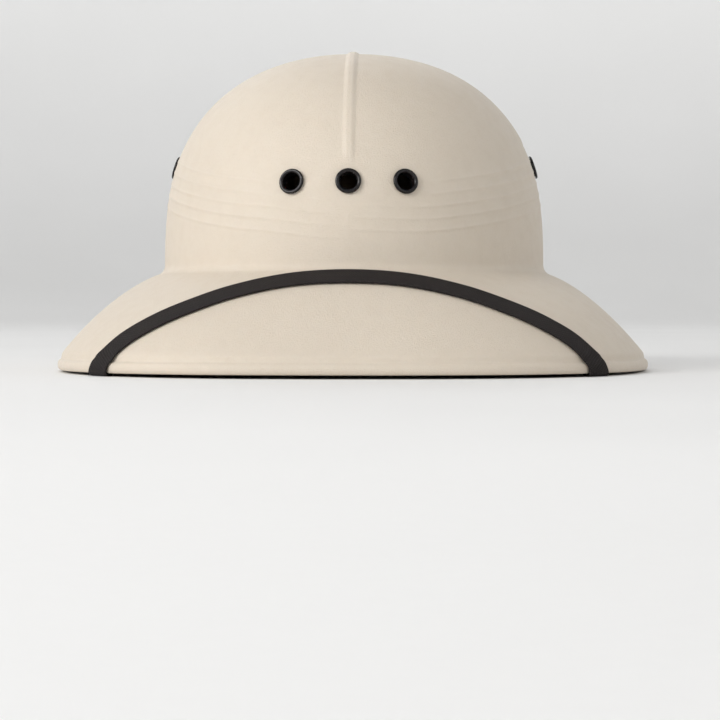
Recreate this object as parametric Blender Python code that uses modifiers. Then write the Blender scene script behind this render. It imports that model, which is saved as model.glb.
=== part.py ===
"""Pith helmet: moulded shell, vent eyelets, chin strap and headband.

Metres, +Z up. The front of the helmet faces -Y and the beaded rim stands on
z = 0. Angles called phi run round the crown from the front towards +X.
"""
import math

import bmesh
import bpy
from mathutils import Matrix, Vector

MM = 0.001

# Brim, seen from above: a squarer curve in front, an ellipse behind.
RIM_HALF_WIDTH = 144.0 * MM
RIM_FRONT = 165.0 * MM
RIM_BACK = 164.0 * MM
RIM_FRONT_POWER = 2.6
RIM_BACK_POWER = 2.0

# Crown, at its foot.
CROWN_HALF_WIDTH = 94.3 * MM
CROWN_FRONT = 116.3 * MM
CROWN_BACK = 110.0 * MM
CROWN_FOOT_Z = 45.8 * MM
CROWN_HEIGHT = 110.0 * MM
CROWN_POWER_OUT = 2.13
CROWN_POWER_UP = 2.9

WALL = 2.2 * MM
GAP = 0.3 * MM

# Bead round the rim: inset from the rim curve as a share of its width, height
# as a share of its height.
BEAD_LIP = 3.2 * MM
BEAD_WIDTH = WALL + BEAD_LIP
BEAD_HEIGHT = 6.6 * MM
BEAD = (
    (0.361, 1.000),
    (0.296, 0.803),
    (0.093, 0.667),
    (0.000, 0.455),
    (0.010, 0.242),
    (0.093, 0.076),
    (0.260, 0.000),
    (0.778, 0.000),
    (0.926, 0.076),
    (1.000, 0.258),
    (1.000, 0.515),
    (0.907, 0.712),
    (0.806, 0.848),
)
# The bead lies lower at the back, where the helmet stands on it.
RIM_RISE_START = 55.0 * MM

# Fillet between crown and brim, and the fall of the brim to the bead.
FILLET = 5.0 * MM
BRIM_TOP_Z = CROWN_FOOT_Z + 0.16 * FILLET
BRIM_START_SLOPE = math.radians(20.0)
BRIM_STEEPENING = 1.551
BRIM_END_INSET = 0.481 * BEAD_WIDTH
BRIM_END_Z = 1.288 * BEAD_HEIGHT

# Four raised ridges from the top of the crown; they end at shares of its height.
RIDGE_HEIGHT = 1.1 * MM
RIDGE_FLAT = 1.5 * MM
RIDGE_SLOPE = 1.2 * MM
RIDGE_FOOT = RIDGE_FLAT + RIDGE_SLOPE
RIDGE_END_FRONT = 0.456
RIDGE_END_SIDE = 0.565

# Moulded pleat ribs, each level at the sides and falling to front and back.
# The lowest starts at a share of the crown's height.
RIB_COUNT = 5
RIB_START = 0.3227
RIB_PITCH = 5.475 * MM
RIB_FALL = 0.19
RIB_TURN = 25.0 * MM
RIB_HEIGHT = 0.6 * MM
RIB_HALF = 1.6 * MM
RIB_FRONT_SHARE = 0.6

# Vent eyelets: name, phi in degrees, share of the crown's height.
EYELETS = (
    ("eyelet_front_left", -13.3, 0.380),
    ("eyelet_front_centre", 0.0, 0.380),
    ("eyelet_front_right", 13.3, 0.380),
    ("eyelet_side_left", -90.0, 0.493),
    ("eyelet_side_right", 90.0, 0.493),
    ("eyelet_back_left", -166.0, 0.380),
    ("eyelet_back_centre", 180.0, 0.380),
    ("eyelet_back_right", 166.0, 0.380),
)
BORE_RADIUS = 4.0 * MM
EYELET_WALL = 0.6 * MM
BARREL_RADIUS = BORE_RADIUS + EYELET_WALL
EYELET_FLANGE = 1.3 * MM
EYELET_RADIUS = BARREL_RADIUS + EYELET_FLANGE
EYELET_HEIGHT = 1.1 * MM
VENT_FLAT = 1.5 * EYELET_RADIUS
EYELET_LIFT = 1.5 * GAP
EYELET_INNER_LIFT = 1.3 * MM
EYELET_SEGMENTS = 12
# Turned section outside and inside the wall: radius as a share of the way from
# the bore to the flange's edge, height as a share of the eyelet's height.
EYELET_FACE = (
    (0.00, 0.41),
    (0.25, 1.00),
    (0.71, 0.91),
    (1.00, 0.41),
    (0.93, 0.00),
)
EYELET_ROLL = (
    (0.68, 0.00),
    (0.64, 0.64),
    (0.00, 0.55),
)

# Headband hoop and sweatband, seen from above.
STRAP_HALF_WIDTH = 6.2 * MM
STRAP_HALF_THICKNESS = 0.45 * MM
HOOP_SIDE_SPACE = 7.0 * GAP + 2.0 * STRAP_HALF_THICKNESS
HOOP_END_SPACE = 5.95 * MM
BAND_CENTRE_Y = 0.5 * (CROWN_BACK - CROWN_FRONT)
HOOP_HALF_WIDTH = CROWN_HALF_WIDTH - WALL - HOOP_SIDE_SPACE
HOOP_HALF_LENGTH = 0.5 * (CROWN_BACK + CROWN_FRONT) - WALL - HOOP_END_SPACE
HOOP_WALL = 1.4 * MM
HOOP_DROP = 1.8 * MM
HOOP_HEIGHT = 18.0 * MM
HOOP_LOW = CROWN_FOOT_Z - HOOP_DROP
SWEATBAND_WALL = 1.2 * MM
SWEATBAND_RISE = 2.0 * MM
SWEATBAND_HEIGHT = 27.0 * MM
SWEATBAND_LOW = HOOP_LOW + SWEATBAND_RISE
BINDING_WALL = 0.9 * MM
BINDING_HEIGHT = 8.0 * MM
BAND_SPACE = 0.7 * MM
SWEATBAND_INSET = HOOP_WALL + BAND_SPACE + BINDING_WALL + GAP
RING_STEPS = 40

# Standoff clips: name, phi in degrees, half the angle that they take.
CLIPS = (
    ("headband_clip_front", 0.0, 3.6),
    ("headband_clip_right", 118.0, 4.2),
    ("headband_clip_back", 180.0, 3.8),
    ("headband_clip_left", -118.0, 4.2),
)
CLIP_HEIGHT = 10.0 * MM

# Chin strap.
STRAP_LIFT = 1.5 * GAP
# Middle line on the brim: phi in degrees, share of the way out to the rim from
# its place beside the crown.
STRAP_SIDE_SPACE = 0.4 * MM
STRAP_ON_BRIM = (
    (0.0, 0.000),
    (4.0, 0.006),
    (8.0, 0.024),
    (12.0, 0.060),
    (16.0, 0.114),
    (20.0, 0.186),
    (24.0, 0.275),
    (28.0, 0.395),
    (32.0, 0.533),
    (35.0, 0.665),
    (38.0, 0.832),
)
# Round the bead: turn in degrees, inset as a share of the bead's width, height
# as a share of its height, tilt of the face in degrees.
STRAP_WRAP = (
    (0.0, 0.481, 1.288, 38.0),
    (0.5, 0.278, 0.955, 28.0),
    (1.0, 0.065, 0.636, 20.0),
    (1.3, 0.000, 0.409, 0.0),
    (1.6, 0.019, 0.212, -22.0),
    (1.9, 0.093, 0.076, -48.0),
    (2.2, 0.260, 0.000, -76.0),
    (2.6, 0.519, 0.000, -90.0),
    (3.0, 0.870, 0.015, -99.0),
    (3.4, 1.260, 0.136, -118.0),
)
STRAP_WRAP_PHI = 40.0
STRAP_MOUTH_PHI = 50.0
STRAP_MOUTH_DROP = 0.5 * MM
# Under the brim: share of the way to the crown's mouth, rise above the straight
# line as a share of the height of the crown's foot.
STRAP_UNDER_BRIM = (
    (0.12, 0.025),
    (0.40, 0.070),
    (0.72, 0.070),
)
# Up the wall to the end: share of the way to the pin, share of the hoop's height.
STRAP_ON_WALL = (
    (0.25, 0.222),
    (0.62, 0.500),
    (1.00, 0.750),
    (1.34, 0.972),
)
STRAP_PIN_PHI = 56.0
STRAP_PIN_RADIUS = 2.4 * MM

# Mesh density.
COLUMNS_PER_QUADRANT = 9
UPPER_ROWS = 8
LOWER_ROWS = 2
FILLET_ROWS = 2
BRIM_ROWS = 6
INNER_ROWS = 8
STRAP_STEP = 8.0 * MM
SMOOTH_ANGLE = math.radians(35.0)


def clamp01(value):
    return max(0.0, min(1.0, value))


def smoothstep(low, high, value):
    t = clamp01((value - low) / (high - low))
    return t * t * (3.0 - 2.0 * t)


def rim_radius(phi):
    """Distance from the axis to the rim curve."""
    side = abs(math.sin(phi)) / RIM_HALF_WIDTH
    if math.cos(phi) > 0.0:
        power = RIM_FRONT_POWER
        along = abs(math.cos(phi)) / RIM_FRONT
    else:
        power = RIM_BACK_POWER
        along = abs(math.cos(phi)) / RIM_BACK
    return (side ** power + along ** power) ** (-1.0 / power)


def rim_rise(phi):
    """Lift of the bead in front, which leaves room for the strap under it."""
    wrap = math.radians(STRAP_WRAP_PHI)
    far = RIM_RISE_START + rim_radius(wrap) * math.cos(wrap)
    room = STRAP_LIFT + 2.0 * STRAP_HALF_THICKNESS + 0.3 * GAP
    run = RIM_RISE_START + rim_radius(phi) * math.cos(phi)
    return room * max(0.0, run) / far


def foot_radius(phi):
    """Distance from the axis to the foot of the crown."""
    length = CROWN_FRONT if math.cos(phi) > 0.0 else CROWN_BACK
    return 1.0 / math.hypot(math.sin(phi) / CROWN_HALF_WIDTH, math.cos(phi) / length)


def crown_radius(phi, share):
    """Crown radius at a share of its height."""
    rise = clamp01(share) ** CROWN_POWER_UP
    return foot_radius(phi) * (1.0 - rise) ** (1.0 / CROWN_POWER_OUT)


def crown(phi, share):
    """Radius, height and outward normal of the crown in its section plane."""
    share = min(share, 0.99999)
    radius = crown_radius(phi, share)
    step = min(1e-4, (1.0 - share) * 0.5)
    run = crown_radius(phi, share + step) - crown_radius(phi, share - step)
    rise = 2.0 * step * CROWN_HEIGHT
    size = math.hypot(run, rise)
    return radius, CROWN_FOOT_Z + CROWN_HEIGHT * share, rise / size, -run / size


FILLET_TOP_Z = BRIM_TOP_Z + FILLET * math.cos(BRIM_START_SLOPE)
FILLET_SHARE = (FILLET_TOP_Z - CROWN_FOOT_Z) / CROWN_HEIGHT


def brim_end_slope():
    """Fall per run of the brim at the bead, from its mean fall where it is narrowest."""
    run = min(
        RIM_HALF_WIDTH - CROWN_HALF_WIDTH,
        RIM_FRONT - CROWN_FRONT,
        RIM_BACK - CROWN_BACK,
    )
    return BRIM_STEEPENING * (BRIM_TOP_Z - BRIM_END_Z) / run


def fillet(phi, t):
    """Concave turn from the crown to the brim."""
    centre = crown_radius(phi, FILLET_SHARE) + FILLET
    angle = math.pi + (math.pi / 2.0 - BRIM_START_SLOPE) * t
    c = math.cos(angle)
    s = math.sin(angle)
    return centre + FILLET * c, FILLET_TOP_Z + FILLET * s, -c, -s


def brim(phi, t):
    """Falling brim, a quadratic curve that steepens towards the rim."""
    r0, z0, _, _ = fillet(phi, 1.0)
    r2 = rim_radius(phi) - BRIM_END_INSET
    z2 = BRIM_END_Z + rim_rise(phi)
    slope0 = math.tan(BRIM_START_SLOPE)
    slope2 = brim_end_slope()
    reach = (z2 - z0 + (r2 - r0) * slope2) / (slope2 - slope0)
    r1 = r0 + reach
    z1 = z0 - reach * slope0
    u = 1.0 - t
    r = u * u * r0 + 2.0 * u * t * r1 + t * t * r2
    z = u * u * z0 + 2.0 * u * t * z1 + t * t * z2
    dr = u * (r1 - r0) + t * (r2 - r1)
    dz = u * (z1 - z0) + t * (z2 - z1)
    size = math.hypot(dr, dz)
    return r, z, -dz / size, dr / size


def place(phi, r, z):
    return Vector((r * math.sin(phi), -r * math.cos(phi), z))


def rib_level(index, y):
    side = CROWN_FOOT_Z + RIB_START * CROWN_HEIGHT + RIB_PITCH * index
    return side - RIB_FALL * (math.hypot(y, RIB_TURN) - RIB_TURN)


def rib_share(phi, index, lift):
    """Share of the crown height at which a rib crosses phi."""
    share = 0.35
    for _ in range(8):
        y = -crown_radius(phi, share) * math.cos(phi)
        share = (rib_level(index, y) + lift - CROWN_FOOT_Z) / CROWN_HEIGHT
    return share


def crown_frame(phi, share):
    """Point on the crown and its true normal."""
    r, z, nr, nz = crown(phi, share)
    point = place(phi, r, z)
    across = place(phi + 1e-3, crown_radius(phi + 1e-3, share), z)
    across -= place(phi - 1e-3, crown_radius(phi - 1e-3, share), z)
    up = place(phi, -nz, nr)
    normal = across.cross(up).normalized()
    if normal.dot(place(phi, nr, nz)) < 0.0:
        normal = -normal
    return point, normal


def level_normal(phi, radius_at):
    """Outward level normal of a closed curve given as radius over phi."""
    across = place(phi + 1e-3, radius_at(phi + 1e-3), 0.0)
    across -= place(phi - 1e-3, radius_at(phi - 1e-3), 0.0)
    return Vector((across.y, -across.x, 0.0)).normalized()


def brim_frame(phi, t):
    """Point on the brim and its true normal."""
    r, z, nr, nz = brim(phi, t)
    across = place(phi + 1e-3, *brim(phi + 1e-3, t)[:2])
    across -= place(phi - 1e-3, *brim(phi - 1e-3, t)[:2])
    up = place(phi, -nz, nr)
    normal = across.cross(up).normalized()
    if normal.z < 0.0:
        normal = -normal
    return place(phi, r, z), normal


def eyelet_frames():
    frames = []
    for name, degrees, share in EYELETS:
        point, normal = crown_frame(math.radians(degrees), share)
        frames.append((name, point, normal))
    return frames


EYELET_FRAMES = eyelet_frames()


def relief(point):
    """Height of ridges and ribs above the plain crown."""
    x, y, z = point
    share = (z - CROWN_FOOT_Z) / CROWN_HEIGHT
    fade = RIDGE_SLOPE / CROWN_HEIGHT
    along = 1.0 - smoothstep(RIDGE_FLAT, RIDGE_FOOT, abs(x))
    along *= smoothstep(RIDGE_END_FRONT - fade, RIDGE_END_FRONT + fade, share)
    across = 1.0 - smoothstep(RIDGE_FLAT, RIDGE_FOOT, abs(y))
    across *= smoothstep(RIDGE_END_SIDE - fade, RIDGE_END_SIDE + fade, share)
    height = RIDGE_HEIGHT * max(along, across)
    turn = abs(math.atan2(x, abs(y)))
    share = RIB_FRONT_SHARE + (1.0 - RIB_FRONT_SHARE) * smoothstep(0.1, 0.4, turn)
    for index in range(RIB_COUNT):
        off = abs(z - rib_level(index, y)) / RIB_HALF
        height = max(height, RIB_HEIGHT * share * clamp01(1.0 - off))
    for _, centre, _ in EYELET_FRAMES:
        away = (point - centre).length
        height *= smoothstep(VENT_FLAT, 1.7 * VENT_FLAT, away)
    return height


def row_list():
    """Rows of the closed shell section, from the top outside to the top inside."""
    rows = []
    last = RIB_COUNT - 1
    for i in range(1, UPPER_ROWS + 1):
        rows.append(("upper", i / UPPER_ROWS, 0))
    for index in range(last, -1, -1):
        if index != last:
            rows.append(("rib", index, RIB_HALF))
        rows.append(("rib", index, 0.0))
        rows.append(("rib", index, -RIB_HALF))
    for i in range(1, LOWER_ROWS + 1):
        rows.append(("lower", i / LOWER_ROWS, 0))
    for i in range(1, FILLET_ROWS + 1):
        rows.append(("fillet", i / FILLET_ROWS, 0.0))
    for i in range(1, BRIM_ROWS + 1):
        rows.append(("brim", i / BRIM_ROWS, 0.0))
    for i in range(len(BEAD)):
        rows.append(("bead", i, 0))
    for i in range(BRIM_ROWS, 0, -1):
        rows.append(("brim", i / BRIM_ROWS, WALL))
    for i in range(FILLET_ROWS, -1, -1):
        rows.append(("fillet", i / FILLET_ROWS, WALL))
    for i in range(1, INNER_ROWS):
        rows.append(("inner", i / INNER_ROWS, 0))
    return rows


def row_point(phi, row):
    """Point of one row at one phi."""
    kind, value, extra = row
    if kind == "upper":
        low = rib_share(phi, RIB_COUNT - 1, RIB_HALF)
        share = low + (1.0 - low) * math.sin(math.pi / 2.0 * (1.0 - value))
        r, z, nr, nz = crown(phi, share)
    elif kind == "rib":
        r, z, nr, nz = crown(phi, rib_share(phi, value, extra))
    elif kind == "lower":
        high = rib_share(phi, 0, -RIB_HALF)
        r, z, nr, nz = crown(phi, high + (FILLET_SHARE - high) * value)
    elif kind == "fillet":
        r, z, nr, nz = fillet(phi, value)
        r -= nr * extra
        z -= nz * extra
        return place(phi, r, z)
    elif kind == "brim":
        r, z, nr, nz = brim(phi, value)
        r -= nr * extra
        z -= nz * extra
        return place(phi, r, z)
    elif kind == "bead":
        inset, height = BEAD[value]
        radius = rim_radius(phi) - inset * BEAD_WIDTH
        return place(phi, radius, height * BEAD_HEIGHT + rim_rise(phi))
    else:
        share = FILLET_SHARE + (1.0 - FILLET_SHARE) * math.sin(math.pi / 2.0 * value)
        r, z, nr, nz = crown(phi, share)
        return place(phi, r - nr * WALL, z - nz * WALL)
    point = place(phi, r, z)
    return point + place(phi, nr, nz) * relief(point)


def column_angles(row):
    """Angles of the columns in one row: close pairs follow the four ridges."""
    angles = []
    half_turns = []
    for quarter in range(4):
        centre = quarter * math.pi / 2.0
        reach = row_point(centre, row).xy.length
        reach = min(reach, foot_radius(centre))
        feet = []
        for width in (RIDGE_FOOT, RIDGE_FLAT):
            sine = min(width / reach, math.sin(math.radians(14.0 * width / RIDGE_FOOT)))
            feet.append(math.asin(sine))
        half_turns.append(feet)
    for quarter in range(4):
        centre = quarter * math.pi / 2.0
        foot, flat = half_turns[quarter]
        next_foot = half_turns[(quarter + 1) % 4][0]
        angles += [centre - flat, centre + flat]
        start = centre + foot
        end = centre + math.pi / 2.0 - next_foot
        for i in range(COLUMNS_PER_QUADRANT + 2):
            angles.append(start + (end - start) * i / (COLUMNS_PER_QUADRANT + 1))
    return angles


def mesh_object(name, vertices, faces, collection):
    mesh = bpy.data.meshes.new(name)
    mesh.from_pydata([tuple(v) for v in vertices], [], faces)
    mesh.update()
    obj = bpy.data.objects.new(name, mesh)
    collection.objects.link(obj)
    bm = bmesh.new()
    bm.from_mesh(mesh)
    bmesh.ops.recalc_face_normals(bm, faces=bm.faces)
    bm.to_mesh(mesh)
    bm.free()
    mesh.shade_smooth()
    mesh.set_sharp_from_angle(angle=SMOOTH_ANGLE)
    return obj


def build_shell(collection):
    rows = row_list()
    vertices = [Vector((0.0, 0.0, CROWN_FOOT_Z + CROWN_HEIGHT + RIDGE_HEIGHT))]
    count = 0
    for row in rows:
        angles = column_angles(row)
        count = len(angles)
        vertices += [row_point(phi, row) for phi in angles]
    vertices.append(Vector((0.0, 0.0, CROWN_FOOT_Z + CROWN_HEIGHT - WALL)))
    end = len(vertices) - 1
    faces = []
    for j in range(count):
        k = (j + 1) % count
        faces.append((0, 1 + j, 1 + k))
        base = 1 + (len(rows) - 1) * count
        faces.append((end, base + k, base + j))
        for i in range(len(rows) - 1):
            a = 1 + i * count
            b = a + count
            faces.append((a + j, b + j, b + k, a + k))
    return mesh_object("helmet_shell", vertices, faces, collection)


def add_cutter(name, point, normal, radius, depth, segments, collection, target):
    mesh = bpy.data.meshes.new(name)
    bm = bmesh.new()
    bmesh.ops.create_cone(
        bm,
        cap_ends=True,
        segments=segments,
        radius1=radius,
        radius2=radius,
        depth=depth,
    )
    bm.to_mesh(mesh)
    bm.free()
    cutter = bpy.data.objects.new(name, mesh)
    cutter.matrix_world = axis_matrix(point, normal)
    cutter.hide_render = True
    cutter.display_type = "WIRE"
    collection.objects.link(cutter)
    hole = target.modifiers.new(name, "BOOLEAN")
    hole.operation = "DIFFERENCE"
    hole.solver = "EXACT"
    hole.object = cutter
    return cutter


def axis_matrix(point, normal):
    """Frame at a point with Z along the normal and X level."""
    side = Vector((0.0, 0.0, 1.0)).cross(normal).normalized()
    up = normal.cross(side)
    matrix = Matrix((side, up, normal)).transposed().to_4x4()
    matrix.translation = point
    return matrix


def build_eyelet(name, point, normal, collection):
    """Rolled eyelet: a closed section turned about its axis."""
    back = WALL + EYELET_INNER_LIFT
    section = []
    for share, height in EYELET_FACE:
        radius = BORE_RADIUS + share * (EYELET_RADIUS - BORE_RADIUS)
        section.append((radius, EYELET_LIFT + height * EYELET_HEIGHT))
    section += [(BARREL_RADIUS, EYELET_LIFT), (BARREL_RADIUS, -back)]
    for share, height in EYELET_ROLL:
        radius = BORE_RADIUS + share * (EYELET_RADIUS - BORE_RADIUS)
        section.append((radius, -back - height * EYELET_HEIGHT))
    mesh = bpy.data.meshes.new(name)
    count = len(section)
    edges = [(i, (i + 1) % count) for i in range(count)]
    mesh.from_pydata([(r, 0.0, z) for r, z in section], edges, [])
    obj = bpy.data.objects.new(name, mesh)
    obj.matrix_world = axis_matrix(point, normal)
    collection.objects.link(obj)
    turn = obj.modifiers.new("turn", "SCREW")
    turn.axis = "Z"
    turn.angle = 2.0 * math.pi
    turn.steps = EYELET_SEGMENTS
    turn.render_steps = EYELET_SEGMENTS
    turn.use_merge_vertices = True
    turn.merge_threshold = 1e-5
    turn.use_smooth_shade = True
    turn.use_normal_calculate = True
    return obj


def band_radius(phi, inset):
    """Radius of the headband curve about the band centre, moved in by inset."""
    width = HOOP_HALF_WIDTH - inset
    length = HOOP_HALF_LENGTH - inset
    return 1.0 / math.hypot(math.sin(phi) / width, math.cos(phi) / length)


def band_point(phi, inset, z):
    point = place(phi, band_radius(phi, inset), z)
    point.y += BAND_CENTRE_Y
    return point


def build_ring(name, section, collection):
    """Closed ring from a closed section of inset and height pairs."""
    vertices = []
    for j in range(RING_STEPS):
        phi = 2.0 * math.pi * j / RING_STEPS
        vertices += [band_point(phi, inset, z) for inset, z in section]
    count = len(section)
    faces = []
    for j in range(RING_STEPS):
        a = j * count
        b = ((j + 1) % RING_STEPS) * count
        for i in range(count):
            k = (i + 1) % count
            faces.append((a + i, b + i, b + k, a + k))
    return mesh_object(name, vertices, faces, collection)


def binding_section(edge_z, turn):
    """Folded tape over one edge of the sweatband; turn is +1 for the upper edge."""
    outer = SWEATBAND_INSET - GAP - BINDING_WALL
    fold = SWEATBAND_INSET - GAP
    leather = SWEATBAND_INSET + SWEATBAND_WALL + GAP
    inner = leather + BINDING_WALL
    far = edge_z - turn * BINDING_HEIGHT
    near = edge_z + turn * GAP
    top = near + turn * BINDING_WALL
    return (
        (outer, far),
        (outer, top),
        (inner, top),
        (inner, far),
        (leather, far),
        (leather, near),
        (fold, near),
        (fold, far),
    )


def hoop_reach(phi):
    """Distance from the helmet axis to the outside of the hoop."""
    s = math.sin(phi) / HOOP_HALF_WIDTH
    c = math.cos(phi) / HOOP_HALF_LENGTH
    shift = -BAND_CENTRE_Y / HOOP_HALF_LENGTH
    a = s * s + c * c
    b = -2.0 * c * shift
    d = shift * shift - 1.0
    return (-b + math.sqrt(b * b - 4.0 * a * d)) / (2.0 * a)


def inner_reach(phi, z):
    """Distance from the helmet axis to the inside of the crown wall."""
    share = (z - CROWN_FOOT_Z) / CROWN_HEIGHT
    return crown_radius(phi, share) - WALL


def build_clip(name, degrees, half, collection):
    """Plain block between the hoop and the crown wall."""
    vertices = []
    steps = 4
    middle = HOOP_LOW + 0.5 * HOOP_HEIGHT
    for j in range(steps + 1):
        phi = math.radians(degrees - half + 2.0 * half * j / steps)
        near = hoop_reach(phi) + 1.2 * GAP
        for z in (middle - 0.5 * CLIP_HEIGHT, middle + 0.5 * CLIP_HEIGHT):
            far = inner_reach(phi, z) - 2.4 * GAP
            vertices.append(place(phi, near, z))
            vertices.append(place(phi, far, z))
    faces = [(0, 1, 3, 2)]
    for j in range(steps):
        a = 4 * j
        b = a + 4
        for i, k in ((0, 1), (1, 3), (3, 2), (2, 0)):
            faces.append((a + i, b + i, b + k, a + k))
    a = 4 * steps
    faces.append((a + 2, a + 3, a + 1, a))
    return mesh_object(name, vertices, faces, collection)


def wall_height(share):
    """Height of a point between hoop and wall, from a share of the hoop's height."""
    return HOOP_LOW + share * HOOP_HEIGHT


def wall_middle(phi, z):
    """Point half way between the facets of the hoop and of the crown wall."""
    return place(phi, 0.5 * (hoop_reach(phi) + inner_reach(phi, z)) - GAP, z)


def strap_knots():
    """Right half of the strap's middle line.

    Each knot is a point, the way the strap's face looks, and the level
    direction that its threads follow where it folds; zero where it lies free.
    """
    lift = STRAP_LIFT + STRAP_HALF_THICKNESS
    knots = []
    free = Vector((0.0, 0.0, 0.0))
    beside = STRAP_HALF_WIDTH + STRAP_SIDE_SPACE
    beside /= rim_radius(0.0) - BRIM_END_INSET - fillet(0.0, 1.0)[0]
    for degrees, share in STRAP_ON_BRIM:
        phi = math.radians(degrees)
        point, face = brim_frame(phi, beside + (1.0 - beside) * share)
        knots.append((point + face * lift, face, free))
    for turn, inset, height, tilt in STRAP_WRAP:
        phi = math.radians(STRAP_WRAP_PHI + turn)
        angle = math.radians(tilt)
        out = level_normal(phi, rim_radius)
        rise = height * BEAD_HEIGHT + rim_rise(phi)
        point = place(phi, rim_radius(phi), rise) - out * inset * BEAD_WIDTH
        face = out * math.cos(angle)
        face.z = math.sin(angle)
        knots.append((point + face * lift, face, out.cross(Vector((0.0, 0.0, 1.0)))))
    phi = math.radians(STRAP_MOUTH_PHI)
    out = level_normal(phi, foot_radius)
    mouth = wall_middle(phi, HOOP_LOW) + out * HOOP_SIDE_SPACE * 0.6
    mouth.z = HOOP_LOW - STRAP_MOUTH_DROP
    face = Vector((-0.8 * out.x, -0.8 * out.y, -0.6))
    fold = out.cross(Vector((0.0, 0.0, 1.0)))
    start, start_face, start_fold = knots[-1]
    for share, rise in STRAP_UNDER_BRIM:
        point = start.lerp(mouth, share)
        point.z += rise * CROWN_FOOT_Z
        knots.append((point, start_face.lerp(face, share), start_fold.lerp(fold, share)))
    knots.append((mouth, face, fold))
    for share, height in STRAP_ON_WALL:
        degrees = STRAP_MOUTH_PHI + (STRAP_PIN_PHI - STRAP_MOUTH_PHI) * share
        phi = math.radians(degrees)
        out = level_normal(phi, foot_radius)
        fold = out.cross(Vector((0.0, 0.0, 1.0)))
        knots.append((wall_middle(phi, wall_height(height)), -out, fold))
    return knots


def catmull(a, b, c, d, t):
    return 0.5 * (
        2.0 * b
        + (c - a) * t
        + (2.0 * a - 5.0 * b + 4.0 * c - d) * t * t
        + (3.0 * b - a - 3.0 * c + d) * t * t * t
    )


def strap_line(step):
    """Sections along the whole strap, at every knot and no more than a step apart."""
    half = strap_knots()
    left = [tuple(Vector((-v.x, v.y, v.z)) for v in knot) for knot in half[1:]]
    knots = left[::-1] + half
    samples = []
    last = len(knots) - 1
    for i in range(last):
        quad = [knots[max(0, min(last, i + k))] for k in (-1, 0, 1, 2)]
        start, end = quad[1], quad[2]
        pieces = max(1, round((end[0] - start[0]).length / step))
        for j in range(pieces):
            t = j / pieces
            point = catmull(*[q[0] for q in quad], t)
            samples.append((point, start[1].lerp(end[1], t), start[2].lerp(end[2], t)))
    samples.append(knots[-1])
    return samples


def build_strap(collection):
    """Webbing of even width; where it folds, its section runs along the fold."""
    samples = strap_line(STRAP_STEP)
    vertices = []
    last = len(samples) - 1
    for i, (point, face, fold) in enumerate(samples):
        along = samples[min(last, i + 1)][0] - samples[max(0, i - 1)][0]
        along.normalize()
        slope = along - fold * along.dot(fold)
        face = (face - slope * face.dot(slope) / slope.length_squared).normalized()
        straight = along.cross(face).normalized()
        if fold.dot(straight) < 0.0:
            fold = -fold
        across = straight.lerp(fold, min(1.0, fold.length))
        across /= across.dot(straight)
        for w, h in ((-1, -1), (1, -1), (1, 1), (-1, 1)):
            offset = across * STRAP_HALF_WIDTH * w + face * STRAP_HALF_THICKNESS * h
            vertices.append(point + offset)
    faces = [(0, 1, 2, 3)]
    for i in range(last):
        a = 4 * i
        b = a + 4
        for k in range(4):
            m = (k + 1) % 4
            faces.append((a + k, a + m, b + m, b + k))
    a = 4 * last
    faces.append((a + 3, a + 2, a + 1, a))
    return mesh_object("chin_strap", vertices, faces, collection)


def build_pins(strap, collection, cutters):
    """One hidden pin through each strap end."""
    for name, side in (("strap_pin_left", -1.0), ("strap_pin_right", 1.0)):
        phi = math.radians(STRAP_PIN_PHI)
        z = wall_height(STRAP_ON_WALL[2][1])
        centre = wall_middle(phi, z)
        normal = level_normal(phi, foot_radius)
        depth = inner_reach(phi, z) - hoop_reach(phi) - 3.0 * GAP
        centre.x *= side
        normal.x *= side
        mesh = bpy.data.meshes.new(name)
        bm = bmesh.new()
        bmesh.ops.create_cone(
            bm,
            cap_ends=True,
            segments=16,
            radius1=STRAP_PIN_RADIUS,
            radius2=STRAP_PIN_RADIUS,
            depth=depth,
        )
        bm.to_mesh(mesh)
        bm.free()
        mesh.shade_smooth()
        mesh.set_sharp_from_angle(angle=SMOOTH_ANGLE)
        pin = bpy.data.objects.new(name, mesh)
        pin.matrix_world = axis_matrix(centre, normal)
        collection.objects.link(pin)
        add_cutter(
            name + "_hole",
            centre,
            normal,
            STRAP_PIN_RADIUS + GAP,
            2.0 * HOOP_SIDE_SPACE,
            16,
            cutters,
            strap,
        )


def add_material(obj, name, color, roughness, metallic=0.0):
    material = bpy.data.materials.new(name + "_" + obj.name)
    material.use_nodes = True
    shader = material.node_tree.nodes["Principled BSDF"]
    shader.inputs["Base Color"].default_value = (*color, 1.0)
    shader.inputs["Roughness"].default_value = roughness
    shader.inputs["Metallic"].default_value = metallic
    obj.data.materials.append(material)


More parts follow.
